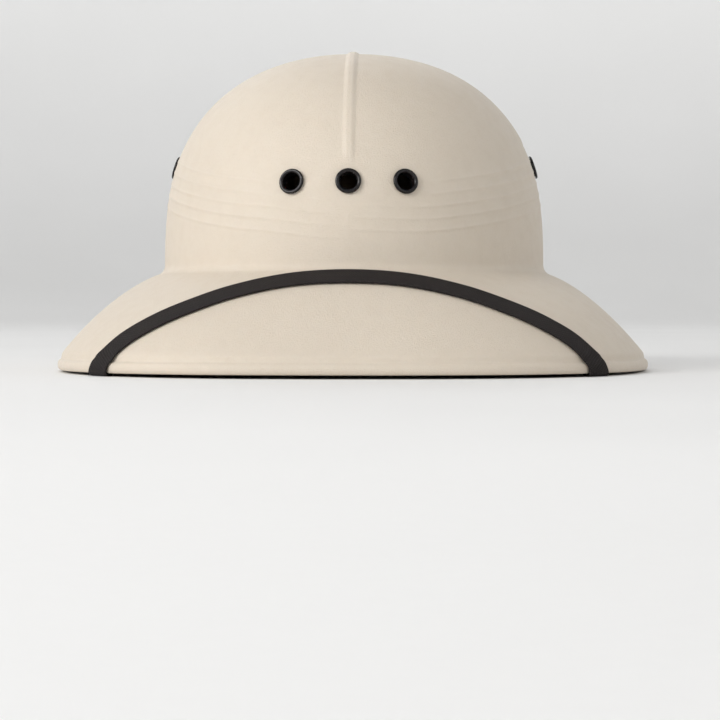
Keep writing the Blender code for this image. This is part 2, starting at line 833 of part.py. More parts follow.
def build_helmet():
    for old in list(bpy.data.objects):
        bpy.data.objects.remove(old, do_unlink=True)
    scene = bpy.context.scene
    helmet = bpy.data.collections.new("helmet")
    cutters = bpy.data.collections.new("cutters")
    scene.collection.children.link(helmet)
    scene.collection.children.link(cutters)

    shell = build_shell(helmet)
    add_material(shell, "khaki_plastic", (0.66, 0.56, 0.44), 0.5)
    for name, point, normal in EYELET_FRAMES:
        eyelet = build_eyelet(name, point, normal, helmet)
        add_material(eyelet, "black_lacquer", (0.012, 0.012, 0.013), 0.25, 0.3)
        add_cutter(
            name + "_hole",
            point,
            normal,
            BARREL_RADIUS + GAP,
            4.0 * (WALL + EYELET_INNER_LIFT),
            16,
            cutters,
            shell,
        )

    strap = build_strap(helmet)
    add_material(strap, "black_webbing", (0.015, 0.015, 0.018), 0.8)
    build_pins(strap, helmet, cutters)
    for obj in helmet.objects:
        if obj.name.startswith("strap_pin"):
            add_material(obj, "black_plastic", (0.02, 0.02, 0.02), 0.5)

    low, high = HOOP_LOW, HOOP_LOW + HOOP_HEIGHT
    section = ((0.0, low), (0.0, high), (HOOP_WALL, high), (HOOP_WALL, low))
    hoop = build_ring("headband_hoop", section, helmet)
    add_material(hoop, "dark_gloss_plastic", (0.03, 0.03, 0.035), 0.25)
    low, high = SWEATBAND_LOW, SWEATBAND_LOW + SWEATBAND_HEIGHT
    inner = SWEATBAND_INSET + SWEATBAND_WALL
    section = (
        (SWEATBAND_INSET, low),
        (SWEATBAND_INSET, high),
        (inner, high),
        (inner, low),
    )
    band = build_ring("sweatband", section, helmet)
    add_material(band, "brown_leatherette", (0.1, 0.047, 0.021), 0.55)
    lower = build_ring("sweatband_lower_binding", binding_section(low, -1.0), helmet)
    upper = build_ring("sweatband_upper_binding", binding_section(high, 1.0), helmet)
    add_material(lower, "black_tape", (0.015, 0.015, 0.016), 0.8)
    add_material(upper, "black_tape", (0.015, 0.015, 0.016), 0.8)
    for name, degrees, half in CLIPS:
        clip = build_clip(name, degrees, half, helmet)
        add_material(clip, "black_plastic", (0.02, 0.02, 0.02), 0.5)


build_helmet()
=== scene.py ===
"""Looks of a pith helmet: moulded shell, eyelets, webbing strap and headband.

Metres, +Z up. The front of the helmet faces -Y. Angles called phi run round
the crown from the front towards +X, and the sizes are those of the solids.
"""

from math import asin, cos, dist, hypot, pi, radians, sin, sqrt, tan

import bmesh
import bpy
import numpy as np
from mathutils import Matrix, Vector


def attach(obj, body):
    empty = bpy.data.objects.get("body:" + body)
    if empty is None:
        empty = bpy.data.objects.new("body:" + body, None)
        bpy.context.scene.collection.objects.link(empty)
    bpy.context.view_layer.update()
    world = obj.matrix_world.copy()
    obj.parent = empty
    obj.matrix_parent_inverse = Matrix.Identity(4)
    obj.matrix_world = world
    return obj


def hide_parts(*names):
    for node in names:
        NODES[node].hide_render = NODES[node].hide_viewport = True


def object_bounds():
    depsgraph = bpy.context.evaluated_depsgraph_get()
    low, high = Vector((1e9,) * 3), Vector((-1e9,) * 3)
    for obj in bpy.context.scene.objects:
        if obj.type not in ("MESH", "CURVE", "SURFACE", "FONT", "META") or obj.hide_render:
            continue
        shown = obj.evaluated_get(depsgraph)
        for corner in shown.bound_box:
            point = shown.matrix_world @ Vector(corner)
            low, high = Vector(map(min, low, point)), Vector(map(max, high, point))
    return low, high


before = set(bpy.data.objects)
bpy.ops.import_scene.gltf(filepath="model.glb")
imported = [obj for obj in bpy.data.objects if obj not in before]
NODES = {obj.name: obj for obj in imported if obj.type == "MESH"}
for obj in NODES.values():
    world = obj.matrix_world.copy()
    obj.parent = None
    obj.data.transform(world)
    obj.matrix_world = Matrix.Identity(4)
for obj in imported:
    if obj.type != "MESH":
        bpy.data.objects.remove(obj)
CAD_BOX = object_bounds()

MM = 0.001
TAU = 2.0 * pi

# Sizes shared with the solids.
RIM_HALF_WIDTH = 144.0 * MM
RIM_FRONT = 165.0 * MM
RIM_BACK = 164.0 * MM
RIM_FRONT_POWER = 2.6
RIM_BACK_POWER = 2.0
CROWN_HALF_WIDTH = 94.3 * MM
CROWN_FRONT = 116.3 * MM
CROWN_BACK = 110.0 * MM
CROWN_FOOT_Z = 45.8 * MM
CROWN_HEIGHT = 110.0 * MM
CROWN_POWER_OUT = 2.13
CROWN_POWER_UP = 2.9
WALL = 2.2 * MM
GAP = 0.3 * MM
BEAD_WIDTH = WALL + 3.2 * MM
BEAD_HEIGHT = 6.6 * MM
# Inset and height round the bead, as shares.
BEAD = (
    (0.361, 1.000), (0.296, 0.803), (0.093, 0.667), (0.000, 0.455), (0.010, 0.242),
    (0.093, 0.076), (0.260, 0.000), (0.778, 0.000), (0.926, 0.076), (1.000, 0.258),
    (1.000, 0.515), (0.907, 0.712), (0.806, 0.848),
)
RIM_RISE_START = 55.0 * MM
FILLET = 5.0 * MM
BRIM_TOP_Z = CROWN_FOOT_Z + 0.16 * FILLET
BRIM_START_SLOPE = radians(20.0)
BRIM_STEEPENING = 1.551
BRIM_END_INSET = 0.481 * BEAD_WIDTH
BRIM_END_Z = 1.288 * BEAD_HEIGHT
RIDGE_HEIGHT = 1.1 * MM
RIDGE_FLAT = 1.5 * MM
RIDGE_SLOPE = 1.2 * MM
RIDGE_FOOT = RIDGE_FLAT + RIDGE_SLOPE
RIDGE_END_FRONT = 0.456
RIDGE_END_SIDE = 0.565
RIB_COUNT = 5
RIB_START = 0.3227
RIB_PITCH = 5.475 * MM
RIB_FALL = 0.19
RIB_TURN = 25.0 * MM
RIB_HEIGHT = 0.6 * MM
# Degrees from the front, and share of the crown's height.
EYELETS = (
    ("front_left", -13.3, 0.380), ("front_centre", 0.0, 0.380),
    ("front_right", 13.3, 0.380), ("side_left", -90.0, 0.493),
    ("side_right", 90.0, 0.493), ("back_left", -166.0, 0.380),
    ("back_centre", 180.0, 0.380), ("back_right", 166.0, 0.380),
)
BORE_RADIUS = 4.0 * MM
EYELET_WALL = 0.6 * MM
BARREL_RADIUS = BORE_RADIUS + EYELET_WALL
EYELET_RADIUS = BARREL_RADIUS + 1.3 * MM
EYELET_HEIGHT = 1.1 * MM
EYELET_LIFT = 1.5 * GAP
EYELET_INNER_LIFT = 1.3 * MM
VENT_FLAT = 1.5 * EYELET_RADIUS
STRAP_HALF_WIDTH = 6.2 * MM
STRAP_HALF_THICKNESS = 0.45 * MM
HOOP_SIDE_SPACE = 7.0 * GAP + 2.0 * STRAP_HALF_THICKNESS
HOOP_END_SPACE = 5.95 * MM
BAND_CENTRE_Y = 0.5 * (CROWN_BACK - CROWN_FRONT)
HOOP_HALF_WIDTH = CROWN_HALF_WIDTH - WALL - HOOP_SIDE_SPACE
HOOP_HALF_LENGTH = 0.5 * (CROWN_BACK + CROWN_FRONT) - WALL - HOOP_END_SPACE
HOOP_WALL = 1.4 * MM
HOOP_HEIGHT = 18.0 * MM
HOOP_LOW = CROWN_FOOT_Z - 1.8 * MM
SWEATBAND_WALL = 1.2 * MM
SWEATBAND_HEIGHT = 27.0 * MM
SWEATBAND_LOW = HOOP_LOW + 2.0 * MM
BINDING_WALL = 0.9 * MM
BINDING_HEIGHT = 8.0 * MM
SWEATBAND_INSET = HOOP_WALL + 0.7 * MM + BINDING_WALL + GAP
STRAP_LIFT = 1.5 * GAP
STRAP_SIDE_SPACE = 0.4 * MM
# Over the brim: degrees, and share of the way to the rim.
STRAP_ON_BRIM = (
    (0.0, 0.000), (4.0, 0.006), (8.0, 0.024), (12.0, 0.060), (16.0, 0.114), (20.0, 0.186),
    (24.0, 0.275), (28.0, 0.395), (32.0, 0.533), (35.0, 0.665), (38.0, 0.832),
)
# Round the rim: degrees further on, inset, height and tilt.
STRAP_WRAP = (
    (0.0, 0.481, 1.288, 38.0), (0.5, 0.278, 0.955, 28.0), (1.0, 0.065, 0.636, 20.0),
    (1.3, 0.000, 0.409, 0.0), (1.6, 0.019, 0.212, -22.0), (1.9, 0.093, 0.076, -48.0),
    (2.2, 0.260, 0.000, -76.0), (2.6, 0.519, 0.000, -90.0), (3.0, 0.870, 0.015, -99.0),
    (3.4, 1.260, 0.136, -118.0),
)
STRAP_WRAP_PHI = 40.0
STRAP_MOUTH_PHI = 50.0
STRAP_MOUTH_DROP = 0.5 * MM
# Under the brim: share of the way to the mouth, and rise.
STRAP_UNDER_BRIM = ((0.12, 0.025), (0.40, 0.070), (0.72, 0.070))
# Up the wall: share of the turn to the pin, and height on the hoop.
STRAP_ON_WALL = ((0.25, 0.222), (0.62, 0.500), (1.00, 0.750), (1.34, 0.972))
STRAP_PIN_PHI = 56.0
STRAP_PIN_RADIUS = 2.4 * MM

# Columns and rows of the shell's skin.
RIDGE_COLUMNS = 15
RIDGE_SPREAD = 1.25
RIDGE_WIDEST = radians(32.0)
OPEN_COLUMNS = 75
ROWS = {"top": 52, "rib": 56, "lower": 12, "fillet": 6, "brim": 24, "inner": 22}
RIB_TOP_LEVEL = (RIB_COUNT - 0.4) * RIB_PITCH
RIB_LOW_LEVEL = -2.2 * MM
BEAD_SPLIT = 3
BEAD_LEAD = 0.94
# Rows of the bead that take part of the raised mask, and with it the same painted
# highlight.
BEAD_RAISED_ROWS = (4, 14)
BEAD_RAISED = 0.6
RAISED_FULL = 0.5 * MM
TURN_STEP = 1e-3
TOP_SHARE = 0.99999

# Soft ridges with a faint trace down the front, hollows round the eyelets, and waviness.
RIDGE_SOFT = 0.7 * MM
RIDGE_FADE = 2.2 * RIDGE_SLOPE / CROWN_HEIGHT
RIDGE_LOW = 0.7
RIDGE_FULL = (0.70, 0.97)
TRACE_HEIGHT = 0.20 * MM
TRACE_WIDTH = 1.7 * MM
TRACE_START = (0.10, 0.22)
VENT_CLEAR = 1.7 * VENT_FLAT
HOLLOW_DEPTH = 0.12 * MM
HOLLOW_EDGE = (5.0 * MM, 11.0 * MM)
WAVINESS = 0.07 * MM

# Pleats: side, slant and strength of each set, where each effect runs, and the profile.
PLEAT_SETS = ((1.0, 0.045, 1.0), (-1.0, -0.040, 0.85))
PLEAT_FRONT = (10.0 * MM, -40.0 * MM)
PLEAT_OVERLAP = (-26.0 * MM, 22.0 * MM)
PLEAT_SLANT_END = 40.0 * MM
PLEAT_SLANT_RUN = 80.0 * MM
PLEAT_WAVE = 0.35 * MM
PLEAT_WAVE_PHASE = 95.0
PLEAT_WAVE_EDGE = (60.0 * MM, 20.0 * MM)
PLEAT_WIDTH_BELOW = 0.55 * MM
PLEAT_WIDTH_ABOVE = 0.95 * MM
PLEAT_LINE = 0.42
PLEAT_SWELL = 0.30
PLEAT_GAIN = 1.35
PLEAT_CALM = 0.55
PLEAT_CALM_EDGE = (18.0 * MM, 62.0 * MM)

# Rolled eyelets.
EYELET_SEAT = 0.14 * MM
EYELET_EDGE = 0.12 * MM
EYELET_LIP = EYELET_RADIUS - 0.7 * MM
EYELET_LIP_HEIGHT = 0.62 * EYELET_HEIGHT
FLANGE_STEPS = 16
LIP_STEPS = 8
LIP_FOLD = 0.4 * MM
FLANGE_RISE = 0.9
FLANGE_LEAN = 0.12

# Headband: rounded edges, folded tapes and stitches. A stitch is given by rings, each
# with its place along, its width and its dip as shares.
RING_STEPS = 240
BAND_UV_RADIUS = 94.0 * MM
HOOP_CORNER = 0.5 * MM
SWEATBAND_CORNER = 0.3 * MM
CORNER_STEPS = 6
SWELL_REACH = 0.24
SWELL_HEIGHT = 0.35 * MM
SWELL_WAVES = ((0.12 * MM, 17.0, 0.0), (0.08 * MM, 41.0, 1.0))
BINDING_CORNER_ACROSS = 0.15 * MM
BINDING_CORNER_UP = 0.2 * MM
BINDING_SHOULDER = 0.3 * MM
BINDING_STEPS = 5
FOLD_STEPS = 8
STITCH_PITCH = 3.3 * MM
STITCH_LENGTH = 2.3 * MM
STITCH_RADIUS = 0.22 * MM
STITCH_DEPTH_RATIO = 1.25
STITCH_DIP = 0.12 * MM
STITCH_FROM_EDGE = 1.6 * MM
STITCH_PROUD = 0.05 * MM
STITCH_SIDES = 6
STITCH_THIRD = 1.0 / 3.0
STITCH_RINGS = (
    (-1.0, 0.45, 1.0), (-STITCH_THIRD, 1.0, 0.0),
    (STITCH_THIRD, 1.0, 0.0), (1.0, 0.45, 1.0),
)
BAND_MARKS = 720

# Webbing section: where the selvage starts, its corner, and the thickness shares.
STRAP_STEP = 0.9 * MM
SELVAGE_START = 0.972
SELVAGE_THICKNESS = 0.80
WEBBING_SWELL = 0.12
SELVAGE_CORNER = ((0.990, 0.66), (1.0, 0.30), (1.0, -0.30), (0.990, -0.66))
STRAP_MOUTH_OUT = 0.6
STRAP_MOUTH_FACE = (-0.8, -0.6)

# Edges rounded off the small solids.
CLIP_ROUND = 0.5 * MM
PIN_ROUND = 0.25 * MM

# Pitch of the weaves, and scales of the linen grain across and along its threads.
WEBBING_RIB = 1.25 * MM
WEBBING_THREAD = 1.05 * MM
TWILL_PITCH = 0.75 * MM
LINEN_ACROSS = 1900.0
LINEN_ALONG = 430.0

# Studio bowl, lights (name, place, size, power and colour) and camera.
STAGE_FLAT = (0.6, 1.3, 2.0)
STAGE_CURVE = 1.4
STAGE_WALL_TOP = 3.2
STAGE_STEPS = 96
STAGE_CURVE_STEPS = 16
WALL_GLOW = 0.36
WALL_GLOW_EDGE = (0.05, 1.1)
LIGHT_AIM = (0.0, 0.0, 0.08)
LIGHTS = (
    ("key", (-1.40, -1.30, 0.90), (1.1, 1.1), 22.5, (1.0, 0.99, 0.98)),
    ("spark", (-0.75, -1.45, 1.05), (0.16, 0.16), 1.8, (1.0, 1.0, 1.0)),
    ("fill", (1.5, -1.2, 0.7), (1.4, 1.2), 0.4, (1.0, 0.95, 0.88)),
    ("top", (-0.5, 0.1, 2.0), (1.6, 1.6), 5.0, (1.0, 1.0, 1.0)),
    ("back", (-0.3, 1.7, 1.3), (1.6, 0.8), 3.5, (1.0, 1.0, 1.0)),
)
WORLD_STRENGTH = 0.28
CAMERA_DISTANCE = 1.1246
CAMERA_TURN = radians(1.4)
CAMERA_HEIGHT = 0.034
CAMERA_AIM = (0.0028, 0.0, 0.004)
SENSOR_WIDTH = 36.0
HALF_FRAME = 360.0
SCALE_AT_CROWN = 0.50168 * MM


def smoothstep(low, high, value):
    """0 at low, 1 at high and smooth between; low may be the greater one."""
    t = np.clip((value - low) / (high - low), 0.0, 1.0)
    return t * t * (3.0 - 2.0 * t)


def rim_radius(phi):
    """Outer radius of the rim, fuller towards the front."""
    side = np.abs(np.sin(phi)) / RIM_HALF_WIDTH
    front = np.cos(phi) > 0.0
    power = np.where(front, RIM_FRONT_POWER, RIM_BACK_POWER)
    along = np.abs(np.cos(phi)) / np.where(front, RIM_FRONT, RIM_BACK)
    return (side ** power + along ** power) ** (-1.0 / power)


def rim_rise(phi):
    """Lift of the rim towards the front, where the helmet stands on the strap."""
    wrap = radians(STRAP_WRAP_PHI)
    far = RIM_RISE_START + rim_radius(wrap) * cos(wrap)
    room = STRAP_LIFT + 2.0 * STRAP_HALF_THICKNESS + 0.3 * GAP
    run = RIM_RISE_START + rim_radius(phi) * np.cos(phi)
    return room * np.maximum(0.0, run) / far


def foot_radius(phi):
    length = np.where(np.cos(phi) > 0.0, CROWN_FRONT, CROWN_BACK)
    return 1.0 / np.hypot(np.sin(phi) / CROWN_HALF_WIDTH, np.cos(phi) / length)


def crown_radius(phi, share):
    rise = np.clip(share, 0.0, 1.0) ** CROWN_POWER_UP
    return foot_radius(phi) * (1.0 - rise) ** (1.0 / CROWN_POWER_OUT)


def crown(phi, share):
    """Radius, height and section normal of the plain crown."""
    share = np.minimum(share, TOP_SHARE)
    radius = crown_radius(phi, share)
    step = np.minimum(1e-4, (1.0 - share) * 0.5)
    run = crown_radius(phi, share + step) - crown_radius(phi, share - step)
    rise = 2.0 * step * CROWN_HEIGHT
    size = np.hypot(run, rise)
    return radius, CROWN_FOOT_Z + CROWN_HEIGHT * share, rise / size, -run / size


FILLET_TOP_Z = BRIM_TOP_Z + FILLET * cos(BRIM_START_SLOPE)
FILLET_SHARE = (FILLET_TOP_Z - CROWN_FOOT_Z) / CROWN_HEIGHT
BRIM_RUN = min(
    RIM_HALF_WIDTH - CROWN_HALF_WIDTH, RIM_FRONT - CROWN_FRONT, RIM_BACK - CROWN_BACK
)
BRIM_END_SLOPE = BRIM_STEEPENING * (BRIM_TOP_Z - BRIM_END_Z) / BRIM_RUN


def fillet(phi, t):
    """Radius, height and section normal where the crown turns into the brim."""
    centre = crown_radius(phi, FILLET_SHARE) + FILLET
    angle = pi + (pi / 2.0 - BRIM_START_SLOPE) * t
    c = cos(angle)
    s = sin(angle)
    return centre + FILLET * c, FILLET_TOP_Z + FILLET * s, -c, -s


def brim(phi, t):
    """Radius, height and section normal of the brim's upper side."""
    r0, z0, _, _ = fillet(phi, 1.0)
    r2 = rim_radius(phi) - BRIM_END_INSET
    z2 = BRIM_END_Z + rim_rise(phi)
    slope0 = tan(BRIM_START_SLOPE)
    reach = (z2 - z0 + (r2 - r0) * BRIM_END_SLOPE) / (BRIM_END_SLOPE - slope0)
    r1 = r0 + reach
    z1 = z0 - reach * slope0
    u = 1.0 - t
    r = u * u * r0 + 2.0 * u * t * r1 + t * t * r2
    z = u * u * z0 + 2.0 * u * t * z1 + t * t * z2
    dr = u * (r1 - r0) + t * (r2 - r1)
    dz = u * (z1 - z0) + t * (z2 - z1)
    size = np.hypot(dr, dz)
    return r, z, -dz / size, dr / size


def points_at(phi, r, z):
    """Array of points for an array of angles."""
    z = np.broadcast_to(z, np.shape(phi))
    return np.stack([r * np.sin(phi), -r * np.cos(phi), z], axis=-1)


def place(phi, r, z):
    """One point, as a vector."""
    return Vector((float(r * sin(phi)), float(-r * cos(phi)), float(z)))


def turn_along(phi, point_at):
    """Direction in which a point moves as phi grows."""
    return point_at(phi + TURN_STEP) - point_at(phi - TURN_STEP)


def surface_frame(section, phi, t):
    """Point on the crown or brim at phi and t, and the true normal there."""
    r, z, nr, nz = section(phi, t)
    across = turn_along(phi, lambda angle: place(angle, *section(angle, t)[:2]))
    normal = across.cross(place(phi, -nz, nr)).normalized()
    if normal.dot(place(phi, nr, nz)) < 0.0:
        normal = -normal
    return place(phi, r, z), normal


def level_normal(phi, radius_at):
    """Level direction out of a closed curve at phi."""
    across = turn_along(phi, lambda angle: place(angle, radius_at(angle), 0.0))
    return Vector((across.y, -across.x, 0.0)).normalized()


EYELET_FRAMES = [
    ("eyelet_" + name, *surface_frame(crown, radians(degrees), share))
    for name, degrees, share in EYELETS
]


def rib_base(y):
    """Height of the lowest rib, which falls away to the front and back."""
    side = CROWN_FOOT_Z + RIB_START * CROWN_HEIGHT
    return side - RIB_FALL * (np.hypot(y, RIB_TURN) - RIB_TURN)


def share_at(phi, level):
    """Share of the crown's height at which a rib level crosses phi."""
    share = np.full(np.shape(phi), 0.35)
    for _ in range(8):
        y = -crown_radius(phi, share) * np.cos(phi)
        share = (rib_base(y) + level - CROWN_FOOT_Z) / CROWN_HEIGHT
    return share


def pleats(p):
    """Overlapping moulded pleats; two sets cross at the middle of the front."""
    x, y, z = p[..., 0], p[..., 1], p[..., 2]
    front = smoothstep(*PLEAT_FRONT, y)
    total = np.zeros(np.shape(x))
    for side, slant, strength in PLEAT_SETS:
        away = side * x
        drift = slant * np.clip(PLEAT_SLANT_END - away, 0.0, PLEAT_SLANT_RUN) * front
        behind = 0.5 * (1.0 - front) / (0.5 + 0.5 * strength)
        weight = strength * (smoothstep(*PLEAT_OVERLAP, away) * front + behind)
        wave = PLEAT_WAVE * np.sin(x * PLEAT_WAVE_PHASE + side) * front
        wave = wave * smoothstep(*PLEAT_WAVE_EDGE, np.abs(x))
        u = (z - rib_base(y) - drift - wave) / RIB_PITCH
        index = np.clip(np.floor(u + 0.5), 0, RIB_COUNT - 1)
        off = (u - index) * RIB_PITCH
        width = np.where(off < 0.0, PLEAT_WIDTH_BELOW, PLEAT_WIDTH_ABOVE)
        line = np.exp(-((off / width) ** 2))
        above = np.clip(u - np.floor(u), 0.0, 1.0)
        inside = ((u > 0.0) & (u < RIB_COUNT)).astype(float)
        swell = inside * (1.0 - above) ** 1.5 * (1.0 - np.exp(-above * 14.0))
        fade = 1.0 - smoothstep(RIB_COUNT - 1.0, RIB_COUNT, u)
        total = np.maximum(total, weight * (PLEAT_LINE * line + PLEAT_SWELL * swell * fade))
    calm = PLEAT_CALM + (1.0 - PLEAT_CALM) * smoothstep(*PLEAT_CALM_EDGE, np.abs(x))
    calm = calm * front + (1.0 - front)
    return RIB_HEIGHT * PLEAT_GAIN * total * calm


def relief(p):
    """Height of ridges, pleats and waviness above the plain crown."""
    x, y, z = p[..., 0], p[..., 1], p[..., 2]
    share = (z - CROWN_FOOT_Z) / CROWN_HEIGHT
    height = np.zeros(np.shape(x))
    for off, start in ((np.abs(x), RIDGE_END_FRONT), (np.abs(y), RIDGE_END_SIDE)):
        ridge = 1.0 - smoothstep(RIDGE_FLAT - RIDGE_SOFT, RIDGE_FOOT + RIDGE_SOFT, off)
        ridge = ridge * smoothstep(start - RIDGE_FADE, start + RIDGE_FADE, share)
        height = np.maximum(height, ridge)
    full = RIDGE_LOW + (1.0 - RIDGE_LOW) * smoothstep(*RIDGE_FULL, share)
    height = RIDGE_HEIGHT * full * height
    trace = np.exp(-((x / TRACE_WIDTH) ** 2)) * smoothstep(*TRACE_START, share)
    height = np.maximum(height, TRACE_HEIGHT * trace * (y < 0.0))
    height = np.maximum(height, pleats(p))
    for _, centre, _ in EYELET_FRAMES:
        away = np.linalg.norm(p - np.array(centre), axis=-1)
        height = height * smoothstep(VENT_FLAT, VENT_CLEAR, away)
        height = height - HOLLOW_DEPTH * (1.0 - smoothstep(*HOLLOW_EDGE, away))
    wave = np.sin(x * 71.0 + 1.3) * np.sin(y * 63.0 + 0.4) * np.sin(z * 57.0)
    wave += 0.7 * np.sin(x * 133.0 + z * 91.0) * np.sin(y * 117.0 + 2.0)
    return height + WAVINESS * wave


def outer_point(phi, share):
    """Point on the crown's outside, with its relief."""
    r, z, nr, nz = crown(phi, share)
    p = points_at(phi, r, z)
    n = points_at(phi, nr, nz)
    return p + n * relief(p)[..., None]


def offset_point(phi, section, depth):
    """Point at a depth under the surface that a section gives."""
    r, z, nr, nz = section
    return points_at(phi, r - nr * depth, z - nz * depth)


def catmull(a, b, c, d, t):
    """Smooth curve from b to c, guided by a and d."""
    square = (2.0 * a - 5.0 * b + 4.0 * c - d) * t * t
    return 0.5 * (2.0 * b + (c - a) * t + square + (3.0 * b - a - 3.0 * c + d) * t * t * t)


def bead_points(phi):
    """Smooth section of the bead between the two sides of the brim."""
    rim = rim_radius(phi)
    rise = rim_rise(phi)
    knots = [offset_point(phi, brim(phi, t), 0.0) for t in (BEAD_LEAD, 1.0)]
    for inset, height in BEAD:
        knots.append(points_at(phi, rim - inset * BEAD_WIDTH, height * BEAD_HEIGHT + rise))
    knots += [offset_point(phi, brim(phi, t), WALL) for t in (1.0, BEAD_LEAD)]
    rows = []
    for i in range(1, len(knots) - 2):
        for j in range(BEAD_SPLIT):
            rows.append(catmull(*knots[i - 1 : i + 3], j / BEAD_SPLIT))
    rows.append(knots[-2])
    return rows[1:-1]


def row_makers():
    """One function of phi for each row, from the top outside to the top inside."""

    def shares(name):
        return [i / ROWS[name] for i in range(1, ROWS[name] + 1)]

    def crown_row(level, end, t):
        def row(phi):
            start = share_at(phi, level)
            return outer_point(phi, start + (end - start) * t)

        return row

    def skin_row(section, t, depth):
        return lambda phi: offset_point(phi, section(phi, t), depth)

    def bead_row(k):
        return lambda phi: bead_points(phi)[k]

    quarter = pi / 2.0
    fall = RIB_LOW_LEVEL - RIB_TOP_LEVEL
    inner_brim = ROWS["brim"] // 2
    makers = []
    for t in shares("top"):
        makers.append(crown_row(RIB_TOP_LEVEL, 1.0, sin(quarter * (1.0 - t))))
    makers += [crown_row(RIB_TOP_LEVEL + fall * t, 1.0, 0.0) for t in shares("rib")]
    makers += [crown_row(RIB_LOW_LEVEL, FILLET_SHARE, t) for t in shares("lower")]
    makers += [skin_row(fillet, t, 0.0) for t in shares("fillet")]
    makers += [skin_row(brim, t, 0.0) for t in shares("brim")]
    makers += [bead_row(k) for k in range(len(bead_points(np.zeros(1))))]
    makers += [skin_row(brim, i / inner_brim, WALL) for i in range(inner_brim, 0, -1)]
    makers += [skin_row(fillet, t, WALL) for t in reversed([0.0] + shares("fillet"))]
    for t in shares("inner")[:-1]:
        share = FILLET_SHARE + (1.0 - FILLET_SHARE) * sin(quarter * t)
        makers.append(skin_row(crown, share, WALL))
    return makers


def column_angles(maker):
    """Angles of one row's columns, with close sets that follow the four ridges."""
    centres = [quarter * pi / 2.0 for quarter in range(4)]
    halves = []
    for centre in centres:
        reach = float(np.hypot(*maker(np.array([centre]))[0][:2]))
        reach = min(reach, float(foot_radius(centre)))
        sine = min(RIDGE_SPREAD * RIDGE_FOOT / reach, sin(RIDGE_WIDEST))
        halves.append(asin(sine))
    angles = []
    for quarter, centre in enumerate(centres):
        half = halves[quarter]
        start = centre + half
        end = centre + pi / 2.0 - halves[(quarter + 1) % 4]
        for i in range(RIDGE_COLUMNS):
            angles.append(centre + half * (2.0 * i / (RIDGE_COLUMNS - 1) - 1.0))
        for i in range(1, OPEN_COLUMNS + 1):
            angles.append(start + (end - start) * i / (OPEN_COLUMNS + 1))
    return np.array(angles)


def add_object(name, data):
    obj = bpy.data.objects.new(name, data)
    bpy.context.scene.collection.objects.link(obj)
    return obj


def new_object(name, vertices, faces, sharp_from=None):
    """Smooth mesh object; edges above sharp_from degrees stay sharp."""
    mesh = bpy.data.meshes.new(name)
    mesh.from_pydata([tuple(v) for v in vertices], [], faces)
    mesh.update()
    obj = add_object(name, mesh)
    bm = bmesh.new()
    bm.from_mesh(mesh)
    bmesh.ops.recalc_face_normals(bm, faces=bm.faces)
    bm.to_mesh(mesh)
    bm.free()
    mesh.shade_smooth()
    if sharp_from:
        mesh.set_sharp_from_angle(angle=radians(sharp_from))
    return obj


def bmesh_object(name, bm):
    mesh = bpy.data.meshes.new(name)
    bm.to_mesh(mesh)
    bm.free()
    return add_object(name, mesh)


def ring_faces(count, steps):
    """Faces between steps copies of a closed section of count points, in a ring."""
    faces = []
    for j in range(steps):
        a = j * count
        b = ((j + 1) % steps) * count
        for i in range(count):
            k = (i + 1) % count
            faces.append((a + i, b + i, b + k, a + k))
    return faces


def fan_faces(rows, count, closed):
    """Faces from a first point over rows of count points, to a last point if closed."""
    final = 1 + (rows - 1) * count
    faces = []
    for j in range(count):
        k = (j + 1) % count
        faces.append((0, 1 + j, 1 + k))
        if closed:
            faces.append((final + count, final + k, final + j))
        for i in range(rows - 1):
            a = 1 + i * count
            b = a + count
            faces.append((a + j, b + j, b + k, a + k))
    return faces


def set_uv(obj, values):
    """UV in metres from one pair of numbers for each vertex."""
    mesh = obj.data
    layer = mesh.uv_layers.new(name="metres")
    index = np.zeros(len(mesh.loops), np.int32)
    mesh.loops.foreach_get("vertex_index", index)
    layer.data.foreach_set("uv", np.asarray(values, np.float32)[index].ravel())


def set_mask(obj, name, values):
    """Numbers from 0 to 1, one for each vertex, that a material reads."""
    attribute = obj.data.attributes.new(name, "FLOAT", "POINT")
    attribute.data.foreach_set("value", np.asarray(values, np.float32))


def cylinders(name, frames, radius, depth, segments):
    """Closed cylinders at several frames, in one object that cuts holes."""
    bm = bmesh.new()
    for point, normal in frames:
        bmesh.ops.create_cone(
            bm, cap_ends=True, segments=segments, radius1=radius, radius2=radius,
            depth=depth, matrix=axis_matrix(point, normal),
        )
    return bmesh_object(name, bm)


def axis_matrix(point, normal):
    """Frame at a point with its Z along the normal."""
    side = Vector((0.0, 0.0, 1.0)).cross(normal).normalized()
    matrix = Matrix((side, normal.cross(side), normal)).transposed().to_4x4()
    matrix.translation = point
    return matrix


def cut(obj, cutter):
    """Takes the cutter out of the object for good, and removes the cutter."""
    hole = obj.modifiers.new("hole", "BOOLEAN")
    hole.operation = "DIFFERENCE"
    hole.solver = "EXACT"
    hole.object = cutter
    graph = bpy.context.evaluated_depsgraph_get()
    mesh = bpy.data.meshes.new_from_object(obj.evaluated_get(graph))
    obj.modifiers.clear()
    obj.data = mesh
    bpy.data.objects.remove(cutter, do_unlink=True)


def shell_uv(grid, top):
    """Flat metres laid out from the top, so that the grain runs evenly."""
    run = np.linalg.norm(np.diff(grid, axis=0), axis=-1)
    start = np.linalg.norm(grid[0] - np.array(top), axis=-1)
    length = np.vstack([start, start + np.cumsum(run, axis=0)])
    turn = np.arctan2(grid[..., 0], -grid[..., 1])
    uv = np.stack([length * np.sin(turn), -length * np.cos(turn)], axis=-1)
    return np.vstack([[0.0, 0.0], uv.reshape(-1, 2), uv[-1].mean(axis=0)])


